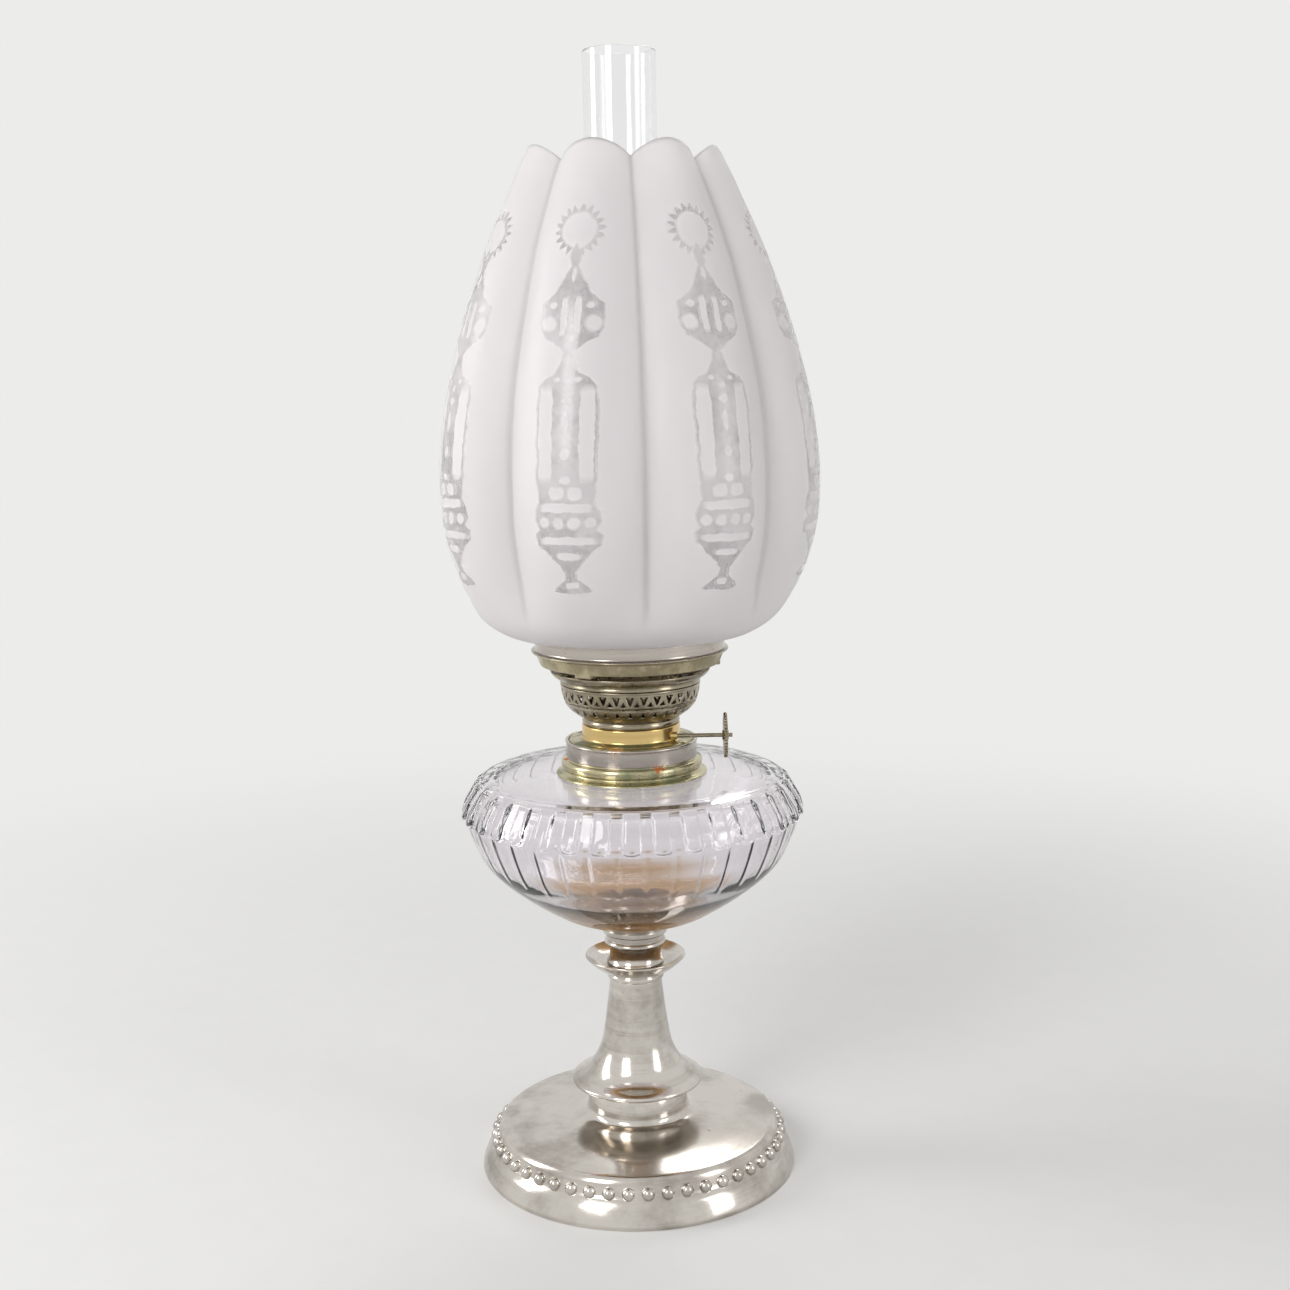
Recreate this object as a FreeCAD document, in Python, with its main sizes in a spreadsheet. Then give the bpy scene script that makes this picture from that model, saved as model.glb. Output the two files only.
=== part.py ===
"""Paraffin table lamp with a tall lobed glass shade.

A turned, plated foot and stem carry a fluted glass font. A round-wick burner screws into the
font's collar. It holds the wick, its winder, the pierced air basket and the gallery, and the
gallery holds the glass chimney and the ring that the shade stands in.

Millimetres. +Z is up, the lamp stands on Z = 0, its axis is the Z axis, and the wick winder
points to +X. The front of the lamp is -Y.
"""
import FreeCAD
import Part
import Sketcher
import math
import os
import re

from FreeCAD import Placement, Rotation, Vector

# Driving dimensions: alias, value in millimetres, degrees or pieces, and what it measures
SIZES = {
    # Clearances and cutting overrun shared by all pieces
    "rod_clearance": (0.3, "round the tie rod in the pieces that it passes through"),
    "screw_clearance": (0.2, "round the burner's skirt in the collar's thread"),
    "running_clearance": (0.05, "round the winder shaft in its sleeve"),
    "wick_clearance": (0.3, "between the wick and the walls beside it"),
    "seat_clearance": (0.3, "round a foot or a flange in the piece that holds it"),
    "overrun": (4, "how far a cutter runs past the face that it opens"),
    "turned_sides": (36, "flat panels round each turned piece"),
    # Foot
    "foot_radius": (86, "radius on the table"),
    "foot_wall": (1.2, "sheet of the spun foot"),
    "skirt_height": (12.2, "height of the plain skirt"),
    "skirt_radius": (81.4, "radius at the top of the skirt"),
    "shelf_radius": (77.2, "radius where the bead band rises from its shelf"),
    "bead_band_height": (23.5, "level of the dome's outer edge, above the bead band"),
    "dome_edge_radius": (75.5, "radius of the dome's outer edge"),
    "boss_radius": (27, "radius of the round boss under the stem"),
    "boss_foot_level": (28, "level where the dome meets the boss"),
    "boss_waist_level": (37, "level where the boss begins to draw in"),
    "stem_seat_level": (45, "level of the flat top that the stem stands on"),
    "stem_seat_radius": (24.4, "radius of that flat top"),
    # Stem
    "bell_radius": (35.8, "radius of the stem's bell rim"),
    "bell_lip": (2.4, "height of the bell's rim"),
    "bell_shoulder_radius": (25.5, "radius of the stem where its bell begins"),
    "bell_shoulder_height": (10.8, "height of that place over the stem's foot"),
    "stem_flare_radius": (19.6, "radius of the stem in its flare"),
    "stem_flare_height": (21, "height of that place over the stem's foot"),
    "stem_waist_radius": (16.4, "radius half way up the stem"),
    "stem_waist_height": (38, "height of that place over the stem's foot"),
    "stem_top_radius": (14.3, "radius under the drip dish"),
    "stem_height": (59.5, "height of the stem"),
    # Drip dish
    "dish_neck_radius": (15.4, "radius of the bead under the dish"),
    "dish_neck_height": (3.2, "height of that bead"),
    "dish_rim_radius": (27.2, "radius of the dish's rim"),
    "dish_height": (13.1, "height of the dish"),
    "dish_floor": (8.7, "height of the dish's floor over its own foot"),
    "dish_floor_radius": (17, "radius of the flat floor"),
    "dish_lip": (0.8, "width of the dish's rim"),
    # Neck spool
    "spool_foot_radius": (15.6, "radius where the spool stands in the dish"),
    "spool_waist_radius": (13.9, "radius of the spool's waist"),
    "spool_waist_height": (4, "height of the waist over the spool's foot"),
    "spool_bead_radius": (16.8, "radius of the bead round the spool"),
    "spool_bead_height": (10.4, "height of the bead's lower edge over the spool's foot"),
    "spool_bead_width": (3, "width of the bead"),
    "spool_neck_radius": (15.9, "radius above the bead"),
    "spool_height": (16.8, "height of the spool"),
    # Cup under the font
    "cup_radius": (17.5, "radius of the cup's band"),
    "cup_band": (3.6, "height of the cup's band"),
    "cup_rim_radius": (22, "radius of the cup's rim"),
    "cup_height": (6.4, "height of the cup"),
    "cup_floor": (3, "thickness of the cup's floor"),
    "cup_lip": (0.7, "width of the cup's rim"),
    # Tie rod, its nut and its plate
    "rod_radius": (3, "radius of the tie rod"),
    "rod_below_plate": (9, "length of the rod under the clamp plate"),
    "plate_width": (31, "side of the square clamp plate"),
    "plate_thickness": (3, "thickness of the clamp plate"),
    "nut_radius": (5.8, "radius of the nut over its corners"),
    "nut_height": (5, "height of the nut"),
    # Glass font
    "peg_radius": (14, "radius of the glass peg in the cup"),
    "peg_height": (1.7, "height of the straight peg"),
    "bowl_low_radius": (39.5, "radius low on the bowl"),
    "bowl_low_height": (9.4, "height of that place over the peg's foot"),
    "bowl_mid_radius": (66, "radius in the middle of the bowl"),
    "bowl_mid_height": (27, "height of that place over the peg's foot"),
    "bowl_high_radius": (82, "radius high on the bowl"),
    "bowl_high_height": (44.5, "height of that place over the peg's foot"),
    "font_radius": (90, "radius of the bowl at its widest, between the flutes"),
    "font_wide_height": (65.5, "height of the widest place over the peg's foot"),
    "shoulder_radius": (81, "radius between the flutes at the shoulder"),
    "shoulder_height": (84, "height of the shoulder over the peg's foot"),
    "font_rim_radius": (78.6, "radius of the font's smooth top"),
    "font_height": (86.5, "height of the font's top at the collar, over the peg's foot"),
    "font_rim_drop": (0.8, "how far the top falls from the collar to its rim"),
    "font_wall": (4, "thickness of the font's glass"),
    "font_neck_radius": (32.9, "outer radius of the glass neck in the collar"),
    "font_neck_height": (6.5, "height of the glass neck over the font's top"),
    "font_mouth_radius": (30.4, "inner radius of the glass neck"),
    "flute_count": (36, "moulded flutes round the font"),
    "flute_width": (10, "width of a flute"),
    "flute_depth": (1.5, "how far a flute stands out"),
    # Collar on the font
    "collar_flange_radius": (40.4, "radius of the collar's flange on the glass"),
    "collar_bead_radius": (37, "radius of the collar's lower bead"),
    "collar_bead_base": (2.6, "height of the bead's lower edge over the glass"),
    "collar_bead_top": (8, "height of the bead's upper edge over the glass"),
    "collar_radius": (34.8, "radius of the collar"),
    "collar_height": (18.3, "height of the collar over the glass"),
    "collar_recess_radius": (33.6, "radius of the recess for the burner's flange"),
    "collar_recess": (1.2, "depth of that recess"),
    "thread_radius": (29.9, "inner radius of the collar's thread"),
    # Burner base
    "base_flange_thickness": (1.6, "thickness of the flange that rests in the collar"),
    "base_wall_radius": (26.2, "radius of the bright wall that carries the winder"),
    "base_wall": (0.9, "thickness of that wall and of the deck on it"),
    "base_height": (9.8, "height of the deck's top over the flange's foot"),
    "skirt_depth": (10, "depth of the threaded skirt under the flange"),
    "skirt_wall": (1.2, "thickness of the skirt"),
    # Wick tubes
    "tube_wall": (0.4, "sheet of the wick tubes"),
    "outer_tube_radius": (12.7, "outer radius of the outer wick tube"),
    "tube_below_deck": (18, "length of the outer wick tube under the deck"),
    "tube_above_deck": (45, "height of the wick tubes over the deck"),
    "wick_thickness": (2.3, "thickness of the woven wick"),
    "air_tube_below_deck": (6, "length of the inner air tube under the deck"),
    "throat_width": (7, "width of the air throat that joins the two tubes"),
    "throat_height": (9, "height of the air throat"),
    "throat_level": (2, "height of the throat over the deck"),
    "window_width": (2.6, "width of the slot in the outer tube for a toothed wheel"),
    "window_height": (6.6, "height of that slot"),
    # Wick
    "wick_above_tube": (1.5, "how far the trimmed wick stands over the tubes"),
    "wick_below_tube": (13, "length of the round wick under the outer tube"),
    "tail_width": (26, "width of the wick's tail in the font"),
    "tail_length": (14, "length of the wick's tail in the font"),
    "tail_lap": (2, "height that the tail shares with the round wick"),
    # Wick winder
    "winder_offset": (14, "distance of the winder shaft in front of the lamp's axis"),
    "winder_drop": (5.2, "level of the shaft under the deck's top"),
    "winder_radius": (1.1, "radius of the winder shaft"),
    "winder_reach": (53.4, "X of the shaft's outer tip"),
    "winder_inner_end": (12.4, "how far the shaft runs past the lamp's middle plane"),
    "sleeve_wall": (0.9, "wall of the shaft's sleeve"),
    "sleeve_place": (19.6, "X of the sleeve's inner end"),
    "sleeve_length": (4.6, "length of the sleeve"),
    "bracket_sheet": (0.8, "sheet of the bracket that steadies the shaft"),
    "bracket_place": (11, "X of the bracket's two cheeks, on both sides of the axis"),
    "bracket_front": (20.4, "distance of the bracket's front edge from the lamp's axis"),
    "bracket_back": (12, "distance of the cheeks' back edge from the lamp's axis"),
    "bracket_strip": (1.6, "width of the strip that joins the cheeks"),
    "bracket_height": (7.6, "height of the cheeks"),
    "thumb_wheel_radius": (11.9, "radius of the thumb wheel"),
    "thumb_wheel_thickness": (1.8, "thickness of the thumb wheel"),
    "thumb_wheel_place": (48.8, "X of the thumb wheel's inner face"),
    "thumb_wheel_teeth": (40, "milled teeth round the thumb wheel"),
    "thumb_wheel_tooth": (0.5, "height of a milled tooth"),
    "sprocket_radius": (4.2, "tip radius of the toothed wheels that drive the wick"),
    "sprocket_root": (3.2, "root radius of those wheels"),
    "sprocket_teeth": (9, "teeth of each wheel"),
    "sprocket_thickness": (1.2, "thickness of each wheel"),
    "sprocket_place": (8, "X of the middle of each wheel, on both sides of the axis"),
    # Air basket
    "basket_foot_radius": (25.2, "radius of the basket's plain foot"),
    "basket_foot_height": (3.8, "height of that foot"),
    "basket_low_radius": (32, "radius low on the pierced wall"),
    "basket_low_height": (8, "height of that place over the basket's foot"),
    "basket_high_radius": (35.8, "radius high on the pierced wall"),
    "basket_high_height": (13.6, "height of that place over the basket's foot"),
    "basket_rim_radius": (37.2, "radius of the basket's rim"),
    "basket_height": (22, "height of the basket"),
    "basket_wall": (0.8, "sheet of the basket"),
    "basket_periods": (32, "repeats of the pierced pattern round the basket"),
    "vee_width": (4.4, "width of the vee-shaped hole"),
    "vee_top": (19.8, "height of its upper corners over the basket's foot"),
    "vee_notch": (18, "height of the notch between its arms"),
    "vee_point": (14.6, "height of its lower point"),
    "vee_arm": (1.2, "width of each arm's upper end"),
    "gable_width": (2.8, "width of the small upright triangle between two vees"),
    "gable_top": (17.2, "height of its upper point"),
    "gable_base": (14.4, "height of its lower edge"),
    "eye_width": (2, "width of the eye-shaped hole"),
    "eye_height": (1, "height of the eye-shaped hole"),
    "eye_level": (12.6, "height of the eye's middle"),
    "tent_width": (3, "width of the lower triangle"),
    "tent_top": (11, "height of its upper point"),
    "tent_base": (7.6, "height of its lower edge"),
    # Gallery and the spring crown on it
    "gallery_neck_radius": (37.2, "radius of the gallery on the basket's rim"),
    "gallery_bead": (2.6, "height of the bead at its foot"),
    "gallery_rim_radius": (41.9, "radius of the gallery's dished rim"),
    "gallery_height": (8.8, "height of the gallery's rim over the basket"),
    "gallery_floor": (1, "thickness of the floor that the chimney stands on"),
    "gallery_hole_radius": (21, "radius of the hole in that floor"),
    "crown_wall": (0.5, "sheet of the spring crown"),
    "crown_band": (5, "height of the crown's closed band"),
    "crown_height": (16, "height of the spring fingers"),
    "finger_count": (16, "spring fingers round the chimney"),
    "finger_gap": (2.4, "gap between two fingers"),
    # Shade ring
    "ring_foot_radius": (47.8, "outer radius of the ring's tapered foot"),
    "ring_radius": (50.2, "outer radius of the bright band that holds the shade"),
    "ring_lip_radius": (52.4, "radius of the lip round the ring"),
    "ring_foot_height": (7.3, "height of the tapered foot"),
    "ring_lip": (1.6, "height of the lip"),
    "ring_height": (15.7, "height of the ring"),
    "ring_sheet": (0.8, "sheet of the ring"),
    "ring_ledge": (7.9, "height of the ledge that the shade stands on, over the ring's foot"),
    "ring_ledge_width": (4.4, "width of that ledge"),
    "arm_width": (9, "width of an arm that rests on the gallery"),
    "arm_thickness": (1.8, "thickness of that arm"),
    "arm_inner_radius": (39, "distance of the arm's inner end from the axis"),
    "arm_count": (3, "arms under the ring"),
    # Chimney
    "chimney_foot_radius": (26.5, "outer radius of the chimney's foot"),
    "chimney_foot_height": (42, "height of the straight foot"),
    "chimney_waist_radius": (17, "outer radius of the waist over the flame"),
    "chimney_waist_height": (49, "height of the waist"),
    "chimney_radius": (18.6, "outer radius of the long tube"),
    "chimney_tube_height": (60, "height where the long tube begins"),
    "chimney_height": (320.6, "height of the chimney"),
    "chimney_wall": (1.8, "thickness of the chimney's glass"),
    # Shade
    "lobe_count": (8, "lobes round the shade"),
    "lobe_radius": (38, "radius of a lobe's rounded back"),
    "lobe_sides": (20, "flat sides of the full round that a lobe's back belongs to"),
    "lobe_panels": (4, "flat panels of the bowl under each lobe"),
    "lobe_turn": (29, "how far the first lobe is turned from the front of the lamp"),
    "shade_wall": (3, "thickness of the shade's glass"),
    "shade_foot_radius": (49, "outer radius of the foot that stands in the ring"),
    "shade_foot_height": (8, "height of that foot"),
    "shade_sole_radius": (64, "radius of the shade's flat sole"),
    "shade_sole_height": (10.6, "height of that place over the shade's foot"),
    "shade_low_radius": (82, "radius of the bowl over the sole"),
    "shade_low_height": (22, "height of that place"),
    "shade_bowl_radius": (93, "radius of the bowl under the lobes"),
    "shade_bowl_height": (38, "height of that place"),
    "shade_knee_radius": (99.4, "radius where the lobes leave the bowl"),
    "shade_knee_height": (63, "height of that place"),
    "shade_radius": (101.4, "radius over the lobes at their widest"),
    "shade_wide_height": (93, "height of the widest place"),
    "shade_high_radius": (98, "radius over the lobes above the widest place"),
    "shade_high_height": (127, "height of that place"),
    "shade_upper_radius": (88.8, "radius over the lobes half way up"),
    "shade_upper_height": (163, "height of that place"),
    "shade_neck_radius": (75.8, "radius over the lobes where they draw in"),
    "shade_neck_height": (201, "height of that place"),
    "shade_rim_radius": (49.6, "radius over the lobes at the rim"),
    "shade_height": (256, "height of the shade at the crest of a lobe"),
    "scallop_depth": (8, "how far the rim falls between two lobes"),
}

# Levels and radii that follow from the sizes, as formulas
STEM_TOP = "(stem_seat_level + stem_height)"
DISH_FLOOR = f"({STEM_TOP} + dish_floor)"
SPOOL_TOP = f"({DISH_FLOOR} + spool_height)"
PEG_FOOT = f"({SPOOL_TOP} + cup_floor)"
FONT_TOP = f"({PEG_FOOT} + font_height)"
COLLAR_TOP = f"({FONT_TOP} + collar_height)"
FLANGE_FOOT = f"({COLLAR_TOP} - collar_recess)"
DECK = f"({FLANGE_FOOT} + base_height)"
WINDER_LEVEL = f"({DECK} - winder_drop)"
THROAT_LOW = f"({DECK} + throat_level)"
TUBE_TOP = f"({DECK} + tube_above_deck)"
BASKET_TOP = f"({DECK} + basket_height)"
CHIMNEY_FOOT = f"({BASKET_TOP} + gallery_floor)"
GALLERY_RIM = f"({BASKET_TOP} + gallery_height)"
RING_FOOT = f"({GALLERY_RIM} + arm_thickness / 2)"
RING_LEDGE = f"({RING_FOOT} + ring_ledge)"
PLATE_TOP = "(stem_seat_level - foot_wall)"
ROD_FOOT = f"({PLATE_TOP} - plate_thickness - rod_below_plate)"
ROD_HOLE = "(rod_radius + rod_clearance)"
SLEEVE_RADIUS = "(winder_radius + running_clearance + sleeve_wall)"
AIR_TUBE_RADIUS = "(outer_tube_radius - tube_wall - 2 * wick_clearance - wick_thickness)"

ALONG_X = (Vector(0, 1, 0), 90)
UP = Vector(0, 0, 1)

doc = FreeCAD.newDocument("table_lamp")
sheet = doc.addObject("Spreadsheet::Sheet", "size")


def fill_sheet():
    """Write every driving dimension and its meaning into the spreadsheet."""
    for row, (alias, (value, meaning)) in enumerate(SIZES.items(), start=1):
        sheet.set(f"A{row}", meaning)
        sheet.set(f"B{row}", str(value))
        sheet.setAlias(f"B{row}", alias)
    doc.recompute()


def bound(formula):
    """Return a formula of aliases as an expression that reads the sheet."""
    def link(word):
        return "size." + word[0] if word[0] in SIZES else word[0]
    return re.sub(r"[a-z_]+", link, formula)


def number(formula):
    """Return the value of a formula of aliases."""
    value = sheet.evalExpression(bound(formula))
    return float(getattr(value, "Value", value))


def plane_of(body, role):
    """Return a body's own origin plane or axis by its role."""
    return next(item for item in body.Origin.OriginFeatures if item.Role == role)


def new_body(label):
    """Add an empty body whose label names its file."""
    body = doc.addObject("PartDesign::Body", label)
    body.Label = label
    return body


def new_sketch(body, name, role):
    """Add an empty sketch on one of a body's own origin planes."""
    sketch = body.newObject("Sketcher::SketchObject", name)
    sketch.AttachmentSupport = [(plane_of(body, role), "")]
    sketch.MapMode = "FlatFace"
    sketch.Visibility = False
    return sketch


def hold(sketch, constraint, formula):
    """Add a constraint to a sketch and bind its value to a formula."""
    held = sketch.addConstraint(constraint)
    sketch.setExpression(f"Constraints[{held}]", bound(formula))


def hold_corner(sketch, line, kind, axis, formula, place):
    """Hold the start of a sketch line at a formula's distance from the origin, or on an axis."""
    if formula == "0":
        sketch.addConstraint(Sketcher.Constraint("PointOnObject", line, 1, axis))
    else:
        hold(sketch, Sketcher.Constraint(kind, -1, 1, line, 1, place), formula)


def outline(body, name, role, *loops):
    """Add closed outlines whose every corner is bound to two formulas of the sheet."""
    sketch = new_sketch(body, name, role)
    for loop in loops:
        first = sketch.GeometryCount
        spots = [Vector(number(across), number(up), 0) for across, up in loop]
        following = spots[1:] + spots[:1]
        sketch.addGeometry([Part.LineSegment(spot, after) for spot, after in zip(spots, following)])
        for index, (across, up) in enumerate(loop):
            line = first + index
            after = first + (index + 1) % len(loop)
            sketch.addConstraint(Sketcher.Constraint("Coincident", line, 2, after, 1))
            hold_corner(sketch, line, "DistanceX", -2, across, spots[index].x)
            hold_corner(sketch, line, "DistanceY", -1, up, spots[index].y)
    return sketch


def circle(body, name, role, across, up, radius):
    """Add a sketch of one circle whose centre and radius are bound to formulas."""
    sketch = new_sketch(body, name, role)
    centre = Vector(number(across), number(up), 0)
    sketch.addGeometry(Part.Circle(centre, UP, number(radius)))
    hold(sketch, Sketcher.Constraint("DistanceX", -1, 1, 0, 3, centre.x), across)
    hold(sketch, Sketcher.Constraint("DistanceY", -1, 1, 0, 3, centre.y), up)
    hold(sketch, Sketcher.Constraint("Radius", 0, number(radius)), radius)
    return sketch


def rectangle(low_across, high_across, low, high):
    """Return the corners of an upright rectangle of formulas."""
    return [(low_across, low), (high_across, low), (high_across, high), (low_across, high)]


def lathe(label, points):
    """Turn an outline of (radius, level) formulas round the lamp's axis into a new body."""
    body = new_body(label)
    sketch = outline(body, label + "_profile", "XZ_Plane", points)
    turned = body.newObject("PartDesign::Revolution", label + "_turned")
    turned.Profile = sketch
    turned.ReferenceAxis = (sketch, ["V_Axis"])
    turned.Angle = 360
    return body


def panel(label, reach, sides, points):
    """Start a body with one straight panel of a ring, from an outline of (radius, level) formulas."""
    body = new_body(label)
    bar = body.newObject("PartDesign::Pad", label + "_bar")
    bar.Profile = outline(body, label + "_profile", "XZ_Plane", points)
    bar.Midplane = True
    bar.setExpression("Length", bound(f"2 * {reach} * tan(180 / {sides}) + overrun"))
    return body


def ring_of_panels(body, reach, sides):
    """Mitre a body's panel on both sides and repeat it all the way round the lamp's axis."""
    far = f"({reach} + overrun)"
    side = f"{far} * tan(180 / {sides})"
    mitre = body.newObject("PartDesign::Pocket", body.Label + "_mitre")
    mitre.Profile = outline(body, body.Label + "_mitre_outline", "XY_Plane", [
        ("0", "0"), (far, side), (far, far), ("-overrun", far), ("-overrun", "-" + far), (far, "-" + far),
        (far, "-" + side),
    ])
    mitre.Type = "ThroughAll"
    mitre.Midplane = True
    doc.recompute()
    round_the_axis(body, [], sides).TransformMode = "Whole shape"


def turned(label, reach, points):
    """Build a turned piece as a ring of flat panels from an outline of (radius, level) formulas."""
    body = panel(label, reach, "turned_sides", points)
    ring_of_panels(body, reach, "turned_sides")
    return body


def slot_through(body, name, points):
    """Cut an outline of (radius, level) formulas out of a panel, right through its width."""
    item = body.newObject("PartDesign::Pocket", name)
    item.Profile = outline(body, name + "_outline", "XZ_Plane", points)
    item.Type = "ThroughAll"
    item.Midplane = True


def pad(body, name, sketch, reach):
    """Pad a sketch of a body along its plane's normal."""
    item = body.newObject("PartDesign::Pad", name)
    item.Profile = sketch
    item.setExpression("Length", bound(reach))
    return item


def pocket(body, name, sketch, reach, forward=True):
    """Cut a sketch out of a body, along its plane's normal or against it."""
    item = body.newObject("PartDesign::Pocket", name)
    item.Profile = sketch
    item.Reversed = forward
    item.setExpression("Length", bound(reach))
    body.Tip = item
    return item


def round_the_axis(body, features, count):
    """Repeat features of a body, or all of it, evenly round the lamp's axis."""
    pattern = body.newObject("PartDesign::PolarPattern", body.Label + "_round")
    pattern.Originals = features
    pattern.Axis = (plane_of(body, "Z_Axis"), [""])
    pattern.Angle = 360
    pattern.setExpression("Occurrences", bound(count))
    body.Tip = pattern
    return pattern


def solid(kind, name, place, turn=None, **sizes):
    """Add a Part primitive whose sizes and place are bound to formulas of the sheet."""
    item = doc.addObject("Part::" + kind, name)
    if turn:
        item.Placement = Placement(Vector(), Rotation(*turn))
    for axis, formula in zip("xyz", place):
        item.setExpression("Placement.Base." + axis, bound(formula))
    for size, formula in sizes.items():
        item.setExpression(size, bound(formula))
    return item


def joined(name, *shapes):
    """Fuse several objects into one."""
    fuse = doc.addObject("Part::MultiFuse", name)
    fuse.Shapes = list(shapes)
    fuse.Refine = True
    return fuse


def without(name, base, tool):
    """Cut one object out of another."""
    cut = doc.addObject("Part::Cut", name)
    cut.Base = base
    cut.Tool = tool
    cut.Refine = True
    return cut


def foot_shell():
    """Spun foot: plain skirt, band for the beads, nearly flat dome and the boss under the stem."""
    return turned("foot_shell", "foot_radius", [
        ("foot_radius", "0"),
        ("skirt_radius", "skirt_height"),
        ("shelf_radius", "skirt_height"),
        ("dome_edge_radius", "bead_band_height"),
        ("boss_radius", "boss_foot_level"),
        ("boss_radius", "boss_waist_level"),
        ("stem_seat_radius", "stem_seat_level"),
        (ROD_HOLE, "stem_seat_level"),
        (ROD_HOLE, PLATE_TOP),
        ("stem_seat_radius - foot_wall", PLATE_TOP),
        ("boss_radius - foot_wall", "boss_foot_level - foot_wall"),
        ("dome_edge_radius - foot_wall", "bead_band_height - foot_wall"),
        ("shelf_radius - foot_wall", "skirt_height - foot_wall"),
        ("foot_radius - 2 * foot_wall", "0"),
    ])


def clamp_plate():
    """Square steel plate inside the foot that the tie rod's nut bears on."""
    half = "plate_width / 2"
    plate = solid("Box", "plate_blank", ("-" + half, "-" + half, f"{PLATE_TOP} - plate_thickness"),
                  Length="plate_width", Width="plate_width", Height="plate_thickness")
    hole = solid("Cylinder", "plate_hole", ("0", "0", f"{PLATE_TOP} - plate_thickness - overrun"),
                 Radius=ROD_HOLE, Height="plate_thickness + 2 * overrun")
    return without("clamp_plate", plate, hole)


def tie_rod():
    """Threaded rod that holds foot, stem, dish, spool and cup together."""
    return solid("Cylinder", "tie_rod", ("0", "0", ROD_FOOT),
                 Radius="rod_radius", Height=f"{PEG_FOOT} - {ROD_FOOT}")


def tie_nut():
    """Hexagon nut under the clamp plate."""
    nut = solid("Prism", "nut_blank", ("0", "0", f"{PLATE_TOP} - plate_thickness - nut_height"),
                Circumradius="nut_radius", Height="nut_height")
    nut.Polygon = 6
    hole = solid("Cylinder", "nut_hole", ("0", "0", ROD_FOOT),
                 Radius="rod_radius", Height="rod_below_plate + overrun")
    return without("tie_nut", nut, hole)


def stem_column():
    """Trumpet-shaped stem whose bell rim stands over the foot's boss."""
    foot = "stem_seat_level"
    return turned("stem_column", "bell_radius", [
        (ROD_HOLE, foot),
        ("stem_seat_radius", foot),
        ("bell_radius", f"{foot} + bell_lip"),
        ("bell_shoulder_radius", f"{foot} + bell_shoulder_height"),
        ("stem_flare_radius", f"{foot} + stem_flare_height"),
        ("stem_waist_radius", f"{foot} + stem_waist_height"),
        ("stem_top_radius", STEM_TOP),
        (ROD_HOLE, STEM_TOP),
    ])


def drip_dish():
    """Small dished collar that catches a drip of oil, with a bead under it."""
    return turned("drip_dish", "dish_rim_radius", [
        (ROD_HOLE, STEM_TOP),
        ("dish_neck_radius", STEM_TOP),
        ("dish_neck_radius", f"{STEM_TOP} + dish_neck_height"),
        ("dish_rim_radius", f"{STEM_TOP} + dish_height - dish_lip"),
        ("dish_rim_radius - dish_lip", f"{STEM_TOP} + dish_height"),
        ("dish_floor_radius", DISH_FLOOR),
        (ROD_HOLE, DISH_FLOOR),
    ])


def neck_spool():
    """Waisted spool with a bead, between the drip dish and the cup."""
    bead = f"{DISH_FLOOR} + spool_bead_height"
    return turned("neck_spool", "spool_bead_radius", [
        (ROD_HOLE, DISH_FLOOR),
        ("spool_foot_radius", DISH_FLOOR),
        ("spool_waist_radius", f"{DISH_FLOOR} + spool_waist_height"),
        ("spool_waist_radius", bead),
        ("spool_bead_radius", bead),
        ("spool_bead_radius", f"{bead} + spool_bead_width"),
        ("spool_neck_radius", f"{bead} + spool_bead_width"),
        ("spool_neck_radius", SPOOL_TOP),
        (ROD_HOLE, SPOOL_TOP),
    ])


def font_cup():
    """Flared cup that the glass font's peg is set in, screwed on the tie rod."""
    bore = "peg_radius + seat_clearance"
    return turned("font_cup", "cup_rim_radius", [
        ("rod_radius", SPOOL_TOP),
        ("cup_radius", SPOOL_TOP),
        ("cup_radius", f"{SPOOL_TOP} + cup_band"),
        ("cup_rim_radius", f"{SPOOL_TOP} + cup_height"),
        ("cup_rim_radius - cup_lip", f"{SPOOL_TOP} + cup_height"),
        (bore, f"{PEG_FOOT} + peg_height - cup_lip"),
        (bore, PEG_FOOT),
        ("rod_radius", PEG_FOOT),
    ])


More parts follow.
